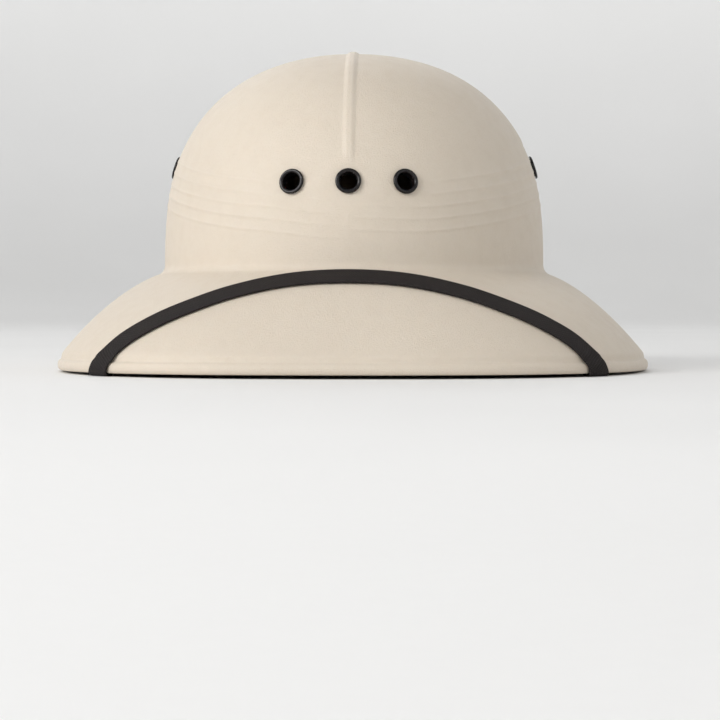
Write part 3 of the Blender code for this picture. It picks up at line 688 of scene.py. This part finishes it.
def shell_masks(grid):
    """Masks of the raised lines, and of the side that is seen from below; the material
    paints a highlight on the first and shade on the second.
    """
    outer_rows = ROWS["top"] + ROWS["rib"] + ROWS["lower"]
    bead_start = outer_rows + ROWS["fillet"] + ROWS["brim"]
    bead_middle = bead_start + len(bead_points(np.zeros(1))) // 2
    raised = np.zeros(grid.shape[:2])
    raised[:outer_rows] = np.clip(relief(grid[:outer_rows]) / RAISED_FULL, 0.0, 1.0)
    first, last = BEAD_RAISED_ROWS
    raised[bead_start + first : bead_start + last] = BEAD_RAISED
    under = np.zeros(grid.shape[:2])
    under[bead_middle:] = 1.0
    return np.r_[1.0, raised.ravel(), 0.0], np.r_[0.0, under.ravel(), 1.0]


def build_shell():
    """Crown, brim and bead in one closed skin, with the eyelet holes cut."""
    grid = np.array([maker(column_angles(maker)) for maker in row_makers()])
    top = Vector((0.0, 0.0, CROWN_FOOT_Z + CROWN_HEIGHT + RIDGE_HEIGHT))
    end = Vector((0.0, 0.0, CROWN_FOOT_Z + CROWN_HEIGHT - WALL))
    vertices = [top, *grid.reshape(-1, 3), end]
    obj = new_object("shell_moulding", vertices, fan_faces(*grid.shape[:2], True))
    set_uv(obj, shell_uv(grid, top))
    raised, under = shell_masks(grid)
    set_mask(obj, "raised", raised)
    set_mask(obj, "under", under)
    frames = [(point, normal) for _, point, normal in EYELET_FRAMES]
    depth = 4.0 * (WALL + EYELET_INNER_LIFT)
    cut(obj, cylinders("vent_cutter", frames, BARREL_RADIUS + GAP, depth, 48))
    return obj


def turned(name, section, matrix, steps=64):
    """Closed section of radius and height turned about the frame's Z."""
    vertices = []
    for j in range(steps):
        angle = TAU * j / steps
        for r, z in section:
            point = Vector((r * cos(angle), r * sin(angle), z))
            vertices.append(matrix @ point)
    return new_object(name, vertices, ring_faces(len(section), steps), sharp_from=40.0)


def build_eyelet(name, point, normal):
    """Rolled flange outside, barrel, and a turned-over lip inside."""
    back = -(WALL + EYELET_INNER_LIFT)
    section = []
    for i in range(FLANGE_STEPS + 1):
        t = pi * i / FLANGE_STEPS
        share = 0.5 - 0.5 * cos(t)
        rise = sin(t) ** 0.75 * EYELET_HEIGHT * (1.0 - FLANGE_LEAN * cos(t + 0.6))
        radius = BORE_RADIUS + (EYELET_RADIUS - BORE_RADIUS) * share
        section.append((radius, EYELET_LIFT + EYELET_SEAT + FLANGE_RISE * rise))
    section.append((EYELET_RADIUS - EYELET_EDGE, EYELET_LIFT))
    section += [(BARREL_RADIUS, EYELET_LIFT), (BARREL_RADIUS, back)]
    for i in range(LIP_STEPS + 1):
        t = pi * i / LIP_STEPS
        radius = BORE_RADIUS + (EYELET_LIP - BORE_RADIUS) * (0.5 + 0.5 * cos(t))
        section.append((radius, back - EYELET_LIP_HEIGHT * sin(t) ** 0.8))
    section.append((BORE_RADIUS, back + LIP_FOLD))
    return turned(name, section, axis_matrix(point, normal))


def band_point(phi, inset, z):
    """Point of the headband's oval, set in from the hoop's outside."""
    width = HOOP_HALF_WIDTH - inset
    length = HOOP_HALF_LENGTH - inset
    radius = 1.0 / hypot(sin(phi) / width, cos(phi) / length)
    point = place(phi, radius, z)
    point.y += BAND_CENTRE_Y
    return point


def build_ring(name, section, wobble=None):
    """Closed ring from a closed section of inset and height pairs; UV in metres."""
    vertices = []
    uv = []
    for j in range(RING_STEPS):
        phi = TAU * j / RING_STEPS
        girth = 0.0
        for i, (inset, z) in enumerate(section):
            shift = wobble(phi, z) if wobble else 0.0
            vertices.append(band_point(phi, inset + shift, z))
            if i:
                girth += dist(section[i - 1], section[i])
            uv.append((phi * BAND_UV_RADIUS, girth))
    faces = ring_faces(len(section), RING_STEPS)
    obj = new_object(name, vertices, faces, sharp_from=50.0)
    set_uv(obj, uv)
    return obj


def rounded_band(outer, inner, low, high, corner, rows):
    """Upright band section with rounded edges, as inset and height pairs."""
    middle = 0.5 * (outer + inner)
    half = 0.5 * (inner - outer)
    span = high - low - 2.0 * corner
    levels = [low + corner + span * i / rows for i in range(rows + 1)]
    turns = [pi * i / CORNER_STEPS for i in range(1, CORNER_STEPS)]
    section = [(outer, z) for z in levels]
    for t in turns:
        section.append((middle - half * cos(t), high - corner + corner * sin(t)))
    section += [(inner, z) for z in reversed(levels)]
    for t in turns:
        section.append((middle + half * cos(t), low + corner - corner * sin(t)))
    return section


def binding_section(edge_z, turn):
    """Folded tape over one edge of the sweatband, softly rounded at the fold."""
    fold = SWEATBAND_INSET - GAP
    leather = SWEATBAND_INSET + SWEATBAND_WALL + GAP
    outer = fold - BINDING_WALL
    inner = leather + BINDING_WALL
    middle = 0.5 * (outer + inner)
    half = 0.5 * (inner - outer)
    far = edge_z - turn * BINDING_HEIGHT
    near = edge_z + turn * GAP
    top = near + turn * BINDING_WALL
    shoulder = near - turn * BINDING_SHOULDER
    corner = far + turn * BINDING_CORNER_UP
    levels = [far + (top - far) * i / BINDING_STEPS for i in range(1, BINDING_STEPS)]
    section = [(fold, far), (outer + BINDING_CORNER_ACROSS, far), (outer, corner)]
    section += [(outer, z) for z in levels]
    for i in range(1, FOLD_STEPS):
        t = pi * i / FOLD_STEPS
        rise = (top - shoulder) * sin(t) ** 0.6
        section.append((middle - half * cos(t), shoulder + rise))
    section += [(inner, z) for z in reversed(levels)]
    section += [(inner, corner), (inner - BINDING_CORNER_ACROSS, far), (leather, far)]
    section += [(leather, near), (fold, near)]
    return section


def add_stitch(bm, centre, along, out, dip):
    """A short thread at a point, with thinner ends that dip into the tape."""
    previous = []
    for place_along, width, sunk in STITCH_RINGS:
        base = centre + along * (0.5 * STITCH_LENGTH * place_along) + out * (dip * sunk)
        radius = STITCH_RADIUS * width
        loop = []
        for k in range(STITCH_SIDES):
            a = TAU * k / STITCH_SIDES
            offset = out * cos(a) * radius
            offset.z += sin(a) * radius * STITCH_DEPTH_RATIO
            loop.append(bm.verts.new(base + offset))
        if previous:
            for k in range(STITCH_SIDES):
                m = (k + 1) % STITCH_SIDES
                bm.faces.new((previous[k], previous[m], loop[m], loop[k]))
        else:
            bm.faces.new(loop[::-1])
        previous = loop
    bm.faces.new(previous)


def build_stitches(name):
    """Lockstitches that hold both tapes, outside and inside."""
    outer = SWEATBAND_INSET - GAP - BINDING_WALL - STITCH_PROUD
    inner = SWEATBAND_INSET + SWEATBAND_WALL + GAP + BINDING_WALL + STITCH_PROUD
    marks = [band_point(TAU * i / BAND_MARKS, inner, 0.0) for i in range(BAND_MARKS + 1)]
    length = sum((b - a).length for a, b in zip(marks, marks[1:]))
    count = int(length / STITCH_PITCH)
    from_edge = BINDING_HEIGHT - STITCH_FROM_EDGE
    bm = bmesh.new()
    for z in (SWEATBAND_LOW + from_edge, SWEATBAND_LOW + SWEATBAND_HEIGHT - from_edge):
        for inset, dip in ((outer, STITCH_DIP), (inner, -STITCH_DIP)):
            for i in range(count):
                phi = TAU * (i + 0.5) / count
                along = band_point(phi + 0.01, inset, z) - band_point(phi - 0.01, inset, z)
                along.normalize()
                out = Vector((along.y, -along.x, 0.0))
                add_stitch(bm, band_point(phi, inset, z), along, out, dip)
    bmesh.ops.recalc_face_normals(bm, faces=bm.faces)
    obj = bmesh_object(name, bm)
    obj.data.shade_smooth()
    return obj


def hoop_reach(phi):
    """Distance from the middle axis to the hoop's outside at phi."""
    s = sin(phi) / HOOP_HALF_WIDTH
    c = cos(phi) / HOOP_HALF_LENGTH
    shift = BAND_CENTRE_Y / HOOP_HALF_LENGTH
    square = s * s + c * c
    half = c * shift
    return (sqrt(half * half + square * (1.0 - shift * shift)) - half) / square


def inner_reach(phi, z):
    """Distance from the middle axis to the shell's inside."""
    return crown_radius(phi, (z - CROWN_FOOT_Z) / CROWN_HEIGHT) - WALL


def wall_middle(phi, z):
    """Point midway between hoop and shell, where the strap runs up."""
    return place(phi, 0.5 * (hoop_reach(phi) + inner_reach(phi, z)) - GAP, z)


def strap_knots():
    """Right half of the strap's middle line: point, face and fold direction."""
    lift = STRAP_LIFT + STRAP_HALF_THICKNESS
    free = Vector((0.0, 0.0, 0.0))
    up = Vector((0.0, 0.0, 1.0))
    knots = []
    beside = STRAP_HALF_WIDTH + STRAP_SIDE_SPACE
    beside /= float(rim_radius(0.0) - BRIM_END_INSET - fillet(0.0, 1.0)[0])
    for degrees, share in STRAP_ON_BRIM:
        t = beside + (1.0 - beside) * share
        point, face = surface_frame(brim, radians(degrees), t)
        knots.append((point + face * lift, face, free))
    for turn, inset, height, tilt in STRAP_WRAP:
        phi = radians(STRAP_WRAP_PHI + turn)
        out = level_normal(phi, rim_radius)
        point = place(phi, rim_radius(phi), height * BEAD_HEIGHT + rim_rise(phi))
        point -= out * inset * BEAD_WIDTH
        face = out * cos(radians(tilt))
        face.z = sin(radians(tilt))
        knots.append((point + face * lift, face, out.cross(up)))
    phi = radians(STRAP_MOUTH_PHI)
    out = level_normal(phi, foot_radius)
    mouth = wall_middle(phi, HOOP_LOW) + out * HOOP_SIDE_SPACE * STRAP_MOUTH_OUT
    mouth.z = HOOP_LOW - STRAP_MOUTH_DROP
    face = out * STRAP_MOUTH_FACE[0] + up * STRAP_MOUTH_FACE[1]
    fold = out.cross(up)
    start, start_face, start_fold = knots[-1]
    for share, rise in STRAP_UNDER_BRIM:
        point = start.lerp(mouth, share)
        point.z += rise * CROWN_FOOT_Z
        knots.append((point, start_face.lerp(face, share), start_fold.lerp(fold, share)))
    knots.append((mouth, face, fold))
    for share, height in STRAP_ON_WALL:
        phi = radians(STRAP_MOUTH_PHI + (STRAP_PIN_PHI - STRAP_MOUTH_PHI) * share)
        out = level_normal(phi, foot_radius)
        point = wall_middle(phi, HOOP_LOW + height * HOOP_HEIGHT)
        knots.append((point, -out, out.cross(up)))
    return knots


def strap_line():
    """Close samples of the whole strap's middle line."""
    half = strap_knots()
    left = [tuple(Vector((-v.x, v.y, v.z)) for v in knot) for knot in half[1:]]
    knots = left[::-1] + half
    samples = []
    last = len(knots) - 1
    for i in range(last):
        quad = [knots[max(0, min(last, i + k))] for k in (-1, 0, 1, 2)]
        start, end = quad[1], quad[2]
        pieces = max(1, round((end[0] - start[0]).length / STRAP_STEP))
        for j in range(pieces):
            t = j / pieces
            point = catmull(*[q[0] for q in quad], t)
            samples.append((point, start[1].lerp(end[1], t), start[2].lerp(end[2], t)))
    samples.append(knots[-1])
    return samples


def strap_section():
    """Webbing section: width and thickness shares, with thin rolled selvages."""
    half = []
    for i in range(11):
        w = -1.0 + 2.0 * i / 10.0
        edge = 1.0 - abs(w) ** 14
        half.append((SELVAGE_START * w, SELVAGE_THICKNESS + WEBBING_SWELL * edge))
    under = [(w, -h) for w, h in reversed(half)]
    other = [(-w, -h) for w, h in SELVAGE_CORNER]
    return half + list(SELVAGE_CORNER) + under + other


def pin_frames():
    """Centre and axis of both strap pins."""
    phi = radians(STRAP_PIN_PHI)
    frames = []
    for side in (-1.0, 1.0):
        centre = wall_middle(phi, HOOP_LOW + STRAP_ON_WALL[2][1] * HOOP_HEIGHT)
        normal = level_normal(phi, foot_radius)
        centre.x *= side
        normal.x *= side
        frames.append((centre, normal))
    return frames


def build_strap():
    """The whole strap, swept along its line and turned with its face and folds."""
    samples = strap_line()
    section = strap_section()
    vertices = []
    uv = []
    last = len(samples) - 1
    girth = 0.0
    for i, (point, face, fold) in enumerate(samples):
        along = samples[min(last, i + 1)][0] - samples[max(0, i - 1)][0]
        along.normalize()
        slope = along - fold * along.dot(fold)
        face = (face - slope * face.dot(slope) / slope.length_squared).normalized()
        straight = along.cross(face).normalized()
        if fold.dot(straight) < 0.0:
            fold = -fold
        across = straight.lerp(fold, min(1.0, fold.length))
        across /= across.dot(straight)
        if i:
            girth += (point - samples[i - 1][0]).length
        for w, h in section:
            offset = across * STRAP_HALF_WIDTH * w + face * STRAP_HALF_THICKNESS * h
            vertices.append(point + offset)
            uv.append((girth, w * STRAP_HALF_WIDTH))
    count = len(section)
    faces = [tuple(range(count))]
    for i in range(last):
        a = count * i
        b = a + count
        for k in range(count):
            m = (k + 1) % count
            faces.append((a + k, a + m, b + m, b + k))
    a = count * last
    faces.append(tuple(a + k for k in range(count - 1, -1, -1)))
    obj = new_object("strap_webbing", vertices, faces, sharp_from=60.0)
    set_uv(obj, uv)
    radius = STRAP_PIN_RADIUS + GAP
    cut(obj, cylinders("pin_cutter", pin_frames(), radius, 2.0 * HOOP_SIDE_SPACE, 32))
    return obj


def softened(node, name, width):
    """A small solid's own shape with its edges rounded off."""
    mesh = NODES[node].data.copy()
    mesh.name = name
    obj = add_object(name, mesh)
    bm = bmesh.new()
    bm.from_mesh(mesh)
    bmesh.ops.remove_doubles(bm, verts=bm.verts, dist=1e-6)
    flat = radians(1.0)
    bmesh.ops.dissolve_limit(bm, angle_limit=flat, verts=bm.verts, edges=bm.edges)
    sharp = [e for e in bm.edges if len(e.link_faces) == 2 and e.calc_face_angle() > 0.5]
    bmesh.ops.bevel(bm, geom=sharp, offset=width, segments=3, profile=0.6, affect="EDGES")
    bm.to_mesh(mesh)
    bm.free()
    mesh.materials.clear()
    mesh.shade_smooth()
    mesh.set_sharp_from_angle(angle=radians(40.0))
    return obj


class Nodes:
    """Short way to write a material's node tree."""

    def __init__(self, name):
        self.material = bpy.data.materials.new(name)
        self.material.use_nodes = True
        self.tree = self.material.node_tree
        self.shader = self.tree.nodes["Principled BSDF"]

    def add(self, kind, inputs=None, **settings):
        node = self.tree.nodes.new(kind)
        for key, value in settings.items():
            setattr(node, key, value)
        for key, value in (inputs or {}).items():
            self.put(node, key, value)
        return node

    def put(self, node, key, value):
        socket = node.inputs[key]
        if isinstance(value, bpy.types.NodeSocket):
            self.tree.links.new(value, socket)
        else:
            socket.default_value = value

    def math(self, operation, a, b=0.0):
        return self.add("ShaderNodeMath", {0: a, 1: b}, operation=operation).outputs[0]

    def plus(self, a, b):
        return self.math("ADD", a, b)

    def times(self, a, b):
        return self.math("MULTIPLY", a, b)

    def metres(self):
        return self.add("ShaderNodeUVMap", uv_map="metres").outputs["UV"]

    def uv(self, across, down):
        """The metre UV scaled by its own number each way."""
        inputs = {"Vector": self.metres(), "Scale": (across, down, 1.0)}
        return self.add("ShaderNodeMapping", inputs).outputs["Vector"]

    def place(self):
        return self.add("ShaderNodeTexCoord").outputs["Object"]

    def split(self, vector):
        return self.add("ShaderNodeSeparateXYZ", {"Vector": vector}).outputs

    def noise(self, vector, scale, detail=2.0, rough=0.5):
        inputs = {"Vector": vector, "Scale": scale, "Detail": detail, "Roughness": rough}
        return self.add("ShaderNodeTexNoise", inputs).outputs["Fac"]

    def ramp(self, value, low, high, to_low=0.0, to_high=1.0):
        inputs = {"Value": value, "From Min": low, "From Max": high}
        inputs.update({"To Min": to_low, "To Max": to_high})
        return self.add("ShaderNodeMapRange", inputs).outputs["Result"]

    def mix(self, factor, a, b):
        """Colour a, and b where the factor is 1; each a socket or three numbers."""
        a, b = (c if isinstance(c, bpy.types.NodeSocket) else (*c, 1.0) for c in (a, b))
        inputs = {0: factor, 6: a, 7: b}
        return self.add("ShaderNodeMix", inputs, data_type="RGBA").outputs[2]

    def mask(self, name):
        return self.add("ShaderNodeAttribute", attribute_name=name).outputs["Fac"]

    def bump(self, height, distance, strength=1.0, before=None):
        inputs = {"Strength": strength, "Distance": distance, "Height": height}
        if before:
            inputs["Normal"] = before
        return self.add("ShaderNodeBump", inputs).outputs["Normal"]

    def finish(self, color, roughness, normal, **others):
        inputs = {"Base Color": color, "Roughness": roughness, "Normal": normal}
        for key, value in others.items():
            inputs[key.replace("_", " ")] = value
        for key, value in inputs.items():
            self.put(self.shader, key, value)
        return self.material


def shell_material():
    """Khaki plastic moulded with a linen-like grain outside and smoother below; painted
    shade below, painted highlight on the raised lines.
    """
    n = Nodes("khaki_plastic_grained")
    here = n.place()
    warp = n.noise(n.uv(LINEN_ACROSS, LINEN_ALONG), 1.0, 2.0, 0.6)
    weft = n.noise(n.uv(LINEN_ALONG, LINEN_ACROSS), 1.0, 2.0, 0.6)
    linen = n.math("MAXIMUM", n.ramp(warp, 0.38, 0.72), n.ramp(weft, 0.38, 0.72))
    orange_peel = n.noise(here, 900.0, 2.0)
    under = n.mask("under")
    raised = n.mask("raised")
    cloth = n.times(linen, n.math("SUBTRACT", 1.0, n.times(under, 0.75)))
    grain = n.plus(n.times(cloth, 0.8), n.times(orange_peel, 0.25))
    broad = n.noise(here, 14.0, 3.0)
    fine = n.noise(here, 160.0, 3.0)
    tone = n.mix(n.ramp(broad, 0.35, 0.65), (0.648, 0.568, 0.470), (0.666, 0.586, 0.486))
    tone = n.mix(n.ramp(fine, 0.45, 0.70, 0.0, 0.18), tone, (0.600, 0.515, 0.415))
    tone = n.mix(n.times(cloth, 0.16), tone, (0.775, 0.705, 0.610))
    # Painted highlight: the raised lines and the bead made lighter.
    tone = n.mix(n.times(raised, 0.14), tone, (0.760, 0.685, 0.585))
    # Painted shade: the side seen from below made darker.
    tone = n.mix(n.times(under, 0.60), tone, (0.590, 0.495, 0.375))
    rough = n.ramp(fine, 0.3, 0.7, 0.46, 0.56)
    rough = n.math("SUBTRACT", rough, n.times(raised, 0.05))
    normal = n.bump(grain, 0.24 * MM, 0.75)
    normal = n.bump(broad, 1.2 * MM, 0.18, normal)
    return n.finish(
        tone, rough, normal, IOR=1.47, Subsurface_Weight=0.06,
        Subsurface_Radius=(1.0, 0.6, 0.35), Subsurface_Scale=2.0 * MM,
    )


def lacquer_material():
    """Black lacquered metal, a little worn and dusty."""
    n = Nodes("black_lacquer_worn")
    here = n.place()
    fine = n.noise(here, 700.0, 4.0, 0.6)
    broad = n.noise(here, 120.0, 2.0)
    tone = n.mix(n.ramp(broad, 0.4, 0.7), (0.005, 0.004, 0.005), (0.014, 0.011, 0.011))
    tone = n.mix(n.ramp(fine, 0.66, 0.74), tone, (0.10, 0.075, 0.06))
    rough = n.ramp(fine, 0.35, 0.75, 0.07, 0.20)
    return n.finish(tone, rough, n.bump(fine, 0.05 * MM, 0.5), IOR=1.38)


def webbing_material():
    """Black woven webbing: short ribs, set off by half a pitch from thread to thread."""
    n = Nodes("black_webbing_woven")
    uv = n.split(n.metres())
    along = n.times(uv["X"], 1.0 / WEBBING_RIB)
    across = n.times(uv["Y"], 1.0 / WEBBING_THREAD)
    odd = n.math("MODULO", n.math("FLOOR", n.plus(across, 100.0)), 2.0)
    rib = n.math("SINE", n.times(n.plus(along, n.times(odd, 0.5)), TAU))
    thread = n.math("ABSOLUTE", n.math("SINE", n.times(across, pi)))
    fuzz = n.noise(n.uv(3000.0, 1500.0), 1.0, 3.0, 0.6)
    height = n.plus(n.times(n.ramp(rib, -1.0, 1.0), 0.5), n.times(thread, 0.35))
    height = n.plus(height, n.times(fuzz, 0.35))
    broad = n.noise(n.uv(60.0, 90.0), 1.0, 2.0)
    tone = n.mix(n.ramp(height, 0.25, 1.05), (0.0035, 0.003, 0.0032), (0.036, 0.029, 0.028))
    tone = n.mix(n.ramp(broad, 0.45, 0.75, 0.0, 0.5), tone, (0.024, 0.019, 0.017))
    rough = n.ramp(fuzz, 0.3, 0.7, 0.74, 0.92)
    return n.finish(tone, rough, n.bump(height, 0.42 * MM, 1.0), Specular_IOR_Level=0.22)


def tape_material():
    """Fine black twill tape."""
    n = Nodes("black_tape_twill")
    uv = n.split(n.metres())
    twill = n.math("SINE", n.times(n.plus(uv["X"], uv["Y"]), TAU / TWILL_PITCH))
    fuzz = n.noise(n.place(), 2200.0, 3.0, 0.6)
    height = n.plus(n.ramp(twill, -1.0, 1.0), n.times(fuzz, 0.6))
    tone = n.mix(n.ramp(height, 0.3, 1.3), (0.006, 0.005, 0.005), (0.026, 0.023, 0.022))
    rough = n.ramp(fuzz, 0.3, 0.7, 0.72, 0.9)
    return n.finish(tone, rough, n.bump(height, 0.18 * MM, 0.8), Specular_IOR_Level=0.2)


def leather_material():
    """Brown leatherette: pebbled grain, darker pores and soft creases."""
    n = Nodes("brown_leatherette_grained")
    here = n.place()
    inputs = {"Vector": here, "Scale": 850.0}
    pebble = n.add("ShaderNodeTexVoronoi", feature="DISTANCE_TO_EDGE", inputs=inputs)
    cells = n.ramp(pebble.outputs["Distance"], 0.0, 0.22)
    fine = n.noise(here, 1500.0, 3.0)
    crease = n.noise(n.uv(150.0, 40.0), 1.0, 3.0, 0.6)
    height = n.plus(n.times(cells, 0.6), n.times(fine, 0.3))
    tone = n.mix(cells, (0.075, 0.036, 0.017), (0.165, 0.086, 0.043))
    tone = n.mix(n.ramp(crease, 0.40, 0.70), tone, (0.205, 0.115, 0.062))
    rough = n.ramp(fine, 0.3, 0.7, 0.42, 0.60)
    normal = n.bump(height, 0.16 * MM, 0.8)
    return n.finish(tone, rough, n.bump(crease, 0.6 * MM, 0.5, normal))


def gloss_material():
    """Dark glossy sheet plastic with fine scuffs."""
    n = Nodes("dark_gloss_plastic_scuffed")
    scuff = n.noise(n.uv(90.0, 4000.0), 1.0, 4.0, 0.65)
    broad = n.noise(n.place(), 45.0, 2.0)
    tone = n.mix(n.ramp(broad, 0.35, 0.7), (0.026, 0.027, 0.031), (0.042, 0.042, 0.046))
    tone = n.mix(n.ramp(scuff, 0.60, 0.72, 0.0, 0.5), tone, (0.085, 0.085, 0.09))
    rough = n.ramp(scuff, 0.35, 0.75, 0.16, 0.36)
    normal = n.bump(scuff, 0.06 * MM, 0.5)
    normal = n.bump(broad, 0.8 * MM, 0.2, normal)
    return n.finish(tone, rough, normal, Coat_Weight=0.3, Coat_Roughness=0.1)


def plain_black_material():
    """Black moulded plastic with a fine spark-eroded texture."""
    n = Nodes("black_plastic_textured")
    here = n.place()
    fine = n.noise(here, 1800.0, 3.0)
    broad = n.noise(here, 90.0, 2.0)
    tone = n.mix(n.ramp(broad, 0.35, 0.7), (0.014, 0.014, 0.015), (0.028, 0.027, 0.027))
    rough = n.ramp(fine, 0.3, 0.7, 0.42, 0.62)
    return n.finish(tone, rough, n.bump(fine, 0.1 * MM, 0.6))


def thread_material():
    """Dark waxed thread with a twist."""
    n = Nodes("dark_thread")
    fine = n.noise(n.place(), 4200.0, 2.0)
    tone = n.mix(n.ramp(fine, 0.35, 0.65), (0.016, 0.013, 0.012), (0.055, 0.045, 0.040))
    return n.finish(tone, n.ramp(fine, 0.3, 0.7, 0.5, 0.7), n.bump(fine, 0.1 * MM, 0.7))


def floor_material():
    """Pale studio paper with a barely visible mottle; its wall glows a little."""
    n = Nodes("studio_paper")
    here = n.place()
    broad = n.noise(here, 3.0, 2.0)
    fine = n.noise(here, 220.0, 2.0)
    tone = n.mix(n.ramp(broad, 0.3, 0.7), (0.83, 0.83, 0.825), (0.86, 0.86, 0.855))
    rough = n.ramp(fine, 0.3, 0.7, 0.62, 0.72)
    glow = n.ramp(n.split(here)["Z"], *WALL_GLOW_EDGE, 0.0, WALL_GLOW)
    return n.finish(
        tone, rough, n.bump(fine, 0.2 * MM, 0.15),
        Emission_Color=(1.0, 1.0, 1.0, 1.0), Emission_Strength=glow,
    )


def dress(obj, material, slot, *nodes):
    """Gives a piece its material, and lets it stand for its solids; the slot is not used.
    """
    obj.data.materials.clear()
    obj.data.materials.append(material)
    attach(obj, "root")
    if nodes:
        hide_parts(*nodes)


def leather_swell(phi, z):
    """Soft uneven swell of the leather between its two tapes."""
    share = (z - SWEATBAND_LOW) / SWEATBAND_HEIGHT
    middle = max(0.0, 1.0 - (abs(share - 0.5) / SWELL_REACH) ** 2)
    wave = sum(size * sin(turns * phi + phase) for size, turns, phase in SWELL_WAVES)
    return middle * (SWELL_HEIGHT + wave)


def build_helmet():
    lacquer = lacquer_material()
    tape = tape_material()
    black = plain_black_material()
    dress(build_shell(), shell_material(), "khaki_plastic", "helmet_shell")
    for name, point, normal in EYELET_FRAMES:
        dress(build_eyelet(name + "_rolled", point, normal), lacquer, "black_lacquer", name)
    dress(build_strap(), webbing_material(), "black_webbing", "chin_strap")

    high = HOOP_LOW + HOOP_HEIGHT
    section = rounded_band(0.0, HOOP_WALL, HOOP_LOW, high, HOOP_CORNER, rows=8)
    hoop = build_ring("hoop_plastic", section)
    dress(hoop, gloss_material(), "dark_gloss_plastic", "headband_hoop")
    low = SWEATBAND_LOW
    high = low + SWEATBAND_HEIGHT
    inner = SWEATBAND_INSET + SWEATBAND_WALL
    section = rounded_band(SWEATBAND_INSET, inner, low, high, SWEATBAND_CORNER, rows=14)
    band = build_ring("sweatband_leather", section, leather_swell)
    dress(band, leather_material(), "brown_leatherette", "sweatband")
    lower = build_ring("lower_binding_tape", binding_section(low, -1.0))
    upper = build_ring("upper_binding_tape", binding_section(high, 1.0))
    dress(lower, tape, "black_tape", "sweatband_lower_binding")
    dress(upper, tape, "black_tape", "sweatband_upper_binding")
    dress(build_stitches("binding_stitches"), thread_material(), "black_tape")
    for start, width in (("headband_clip", CLIP_ROUND), ("strap_pin", PIN_ROUND)):
        for node in sorted(NODES):
            if node.startswith(start):
                piece = softened(node, node + "_moulded", width)
                dress(piece, black, "black_plastic", node)


def build_stage():
    """Round studio bowl: a level floor that curves up into a pale wall."""
    edge = STAGE_FLAT[-1]
    profile = [(r, 0.0) for r in STAGE_FLAT]
    for i in range(1, STAGE_CURVE_STEPS + 1):
        t = pi / 2.0 * i / STAGE_CURVE_STEPS
        r = edge + STAGE_CURVE * sin(t)
        profile.append((r, STAGE_CURVE - STAGE_CURVE * cos(t)))
    profile.append((edge + STAGE_CURVE, STAGE_WALL_TOP))
    vertices = [(0.0, 0.0, 0.0)]
    for r, z in profile:
        for j in range(STAGE_STEPS):
            a = TAU * j / STAGE_STEPS
            vertices.append((r * cos(a), r * sin(a), z))
    mesh = bpy.data.meshes.new("studio_floor")
    mesh.from_pydata(vertices, [], fan_faces(len(profile), STAGE_STEPS, False))
    mesh.update()
    mesh.shade_smooth()
    floor = add_object("studio_floor", mesh)
    floor.location.z = min(0.0, float(CAD_BOX[0].z))
    mesh.materials.append(floor_material())


def build_light():
    """Soft key from the upper left, with weaker lights round it."""
    for name, at, size, power, color in LIGHTS:
        data = bpy.data.lights.new(name, "AREA")
        data.shape = "RECTANGLE"
        data.size, data.size_y = size
        data.energy = power
        data.color = color
        lamp = add_object(name, data)
        lamp.location = at
        towards = Vector(LIGHT_AIM) - Vector(at)
        lamp.rotation_euler = towards.to_track_quat("-Z", "Y").to_euler()
    world = bpy.data.worlds.new("studio")
    world.use_nodes = True
    background = world.node_tree.nodes["Background"]
    background.inputs["Color"].default_value = (1.0, 1.0, 1.0, 1.0)
    background.inputs["Strength"].default_value = WORLD_STRENGTH
    bpy.context.scene.world = world


def build_camera():
    """Level camera just above the floor, turned as in the view of the front."""
    data = bpy.data.cameras.new("camera")
    data.sensor_width = SENSOR_WIDTH
    data.lens = 0.5 * SENSOR_WIDTH * CAMERA_DISTANCE / (HALF_FRAME * SCALE_AT_CROWN)
    data.clip_start = 0.01
    camera = add_object("camera", data)
    x = CAMERA_DISTANCE * sin(CAMERA_TURN)
    y = -CAMERA_DISTANCE * cos(CAMERA_TURN)
    camera.location = (x, y, CAMERA_HEIGHT)
    towards = Vector(CAMERA_AIM) - camera.location
    camera.rotation_euler = towards.to_track_quat("-Z", "Y").to_euler()
    bpy.context.scene.camera = camera


build_helmet()
build_stage()
build_light()
build_camera()
view = bpy.context.scene.view_settings
view.view_transform = "Standard"
view.look = "None"
view.exposure = 0.0
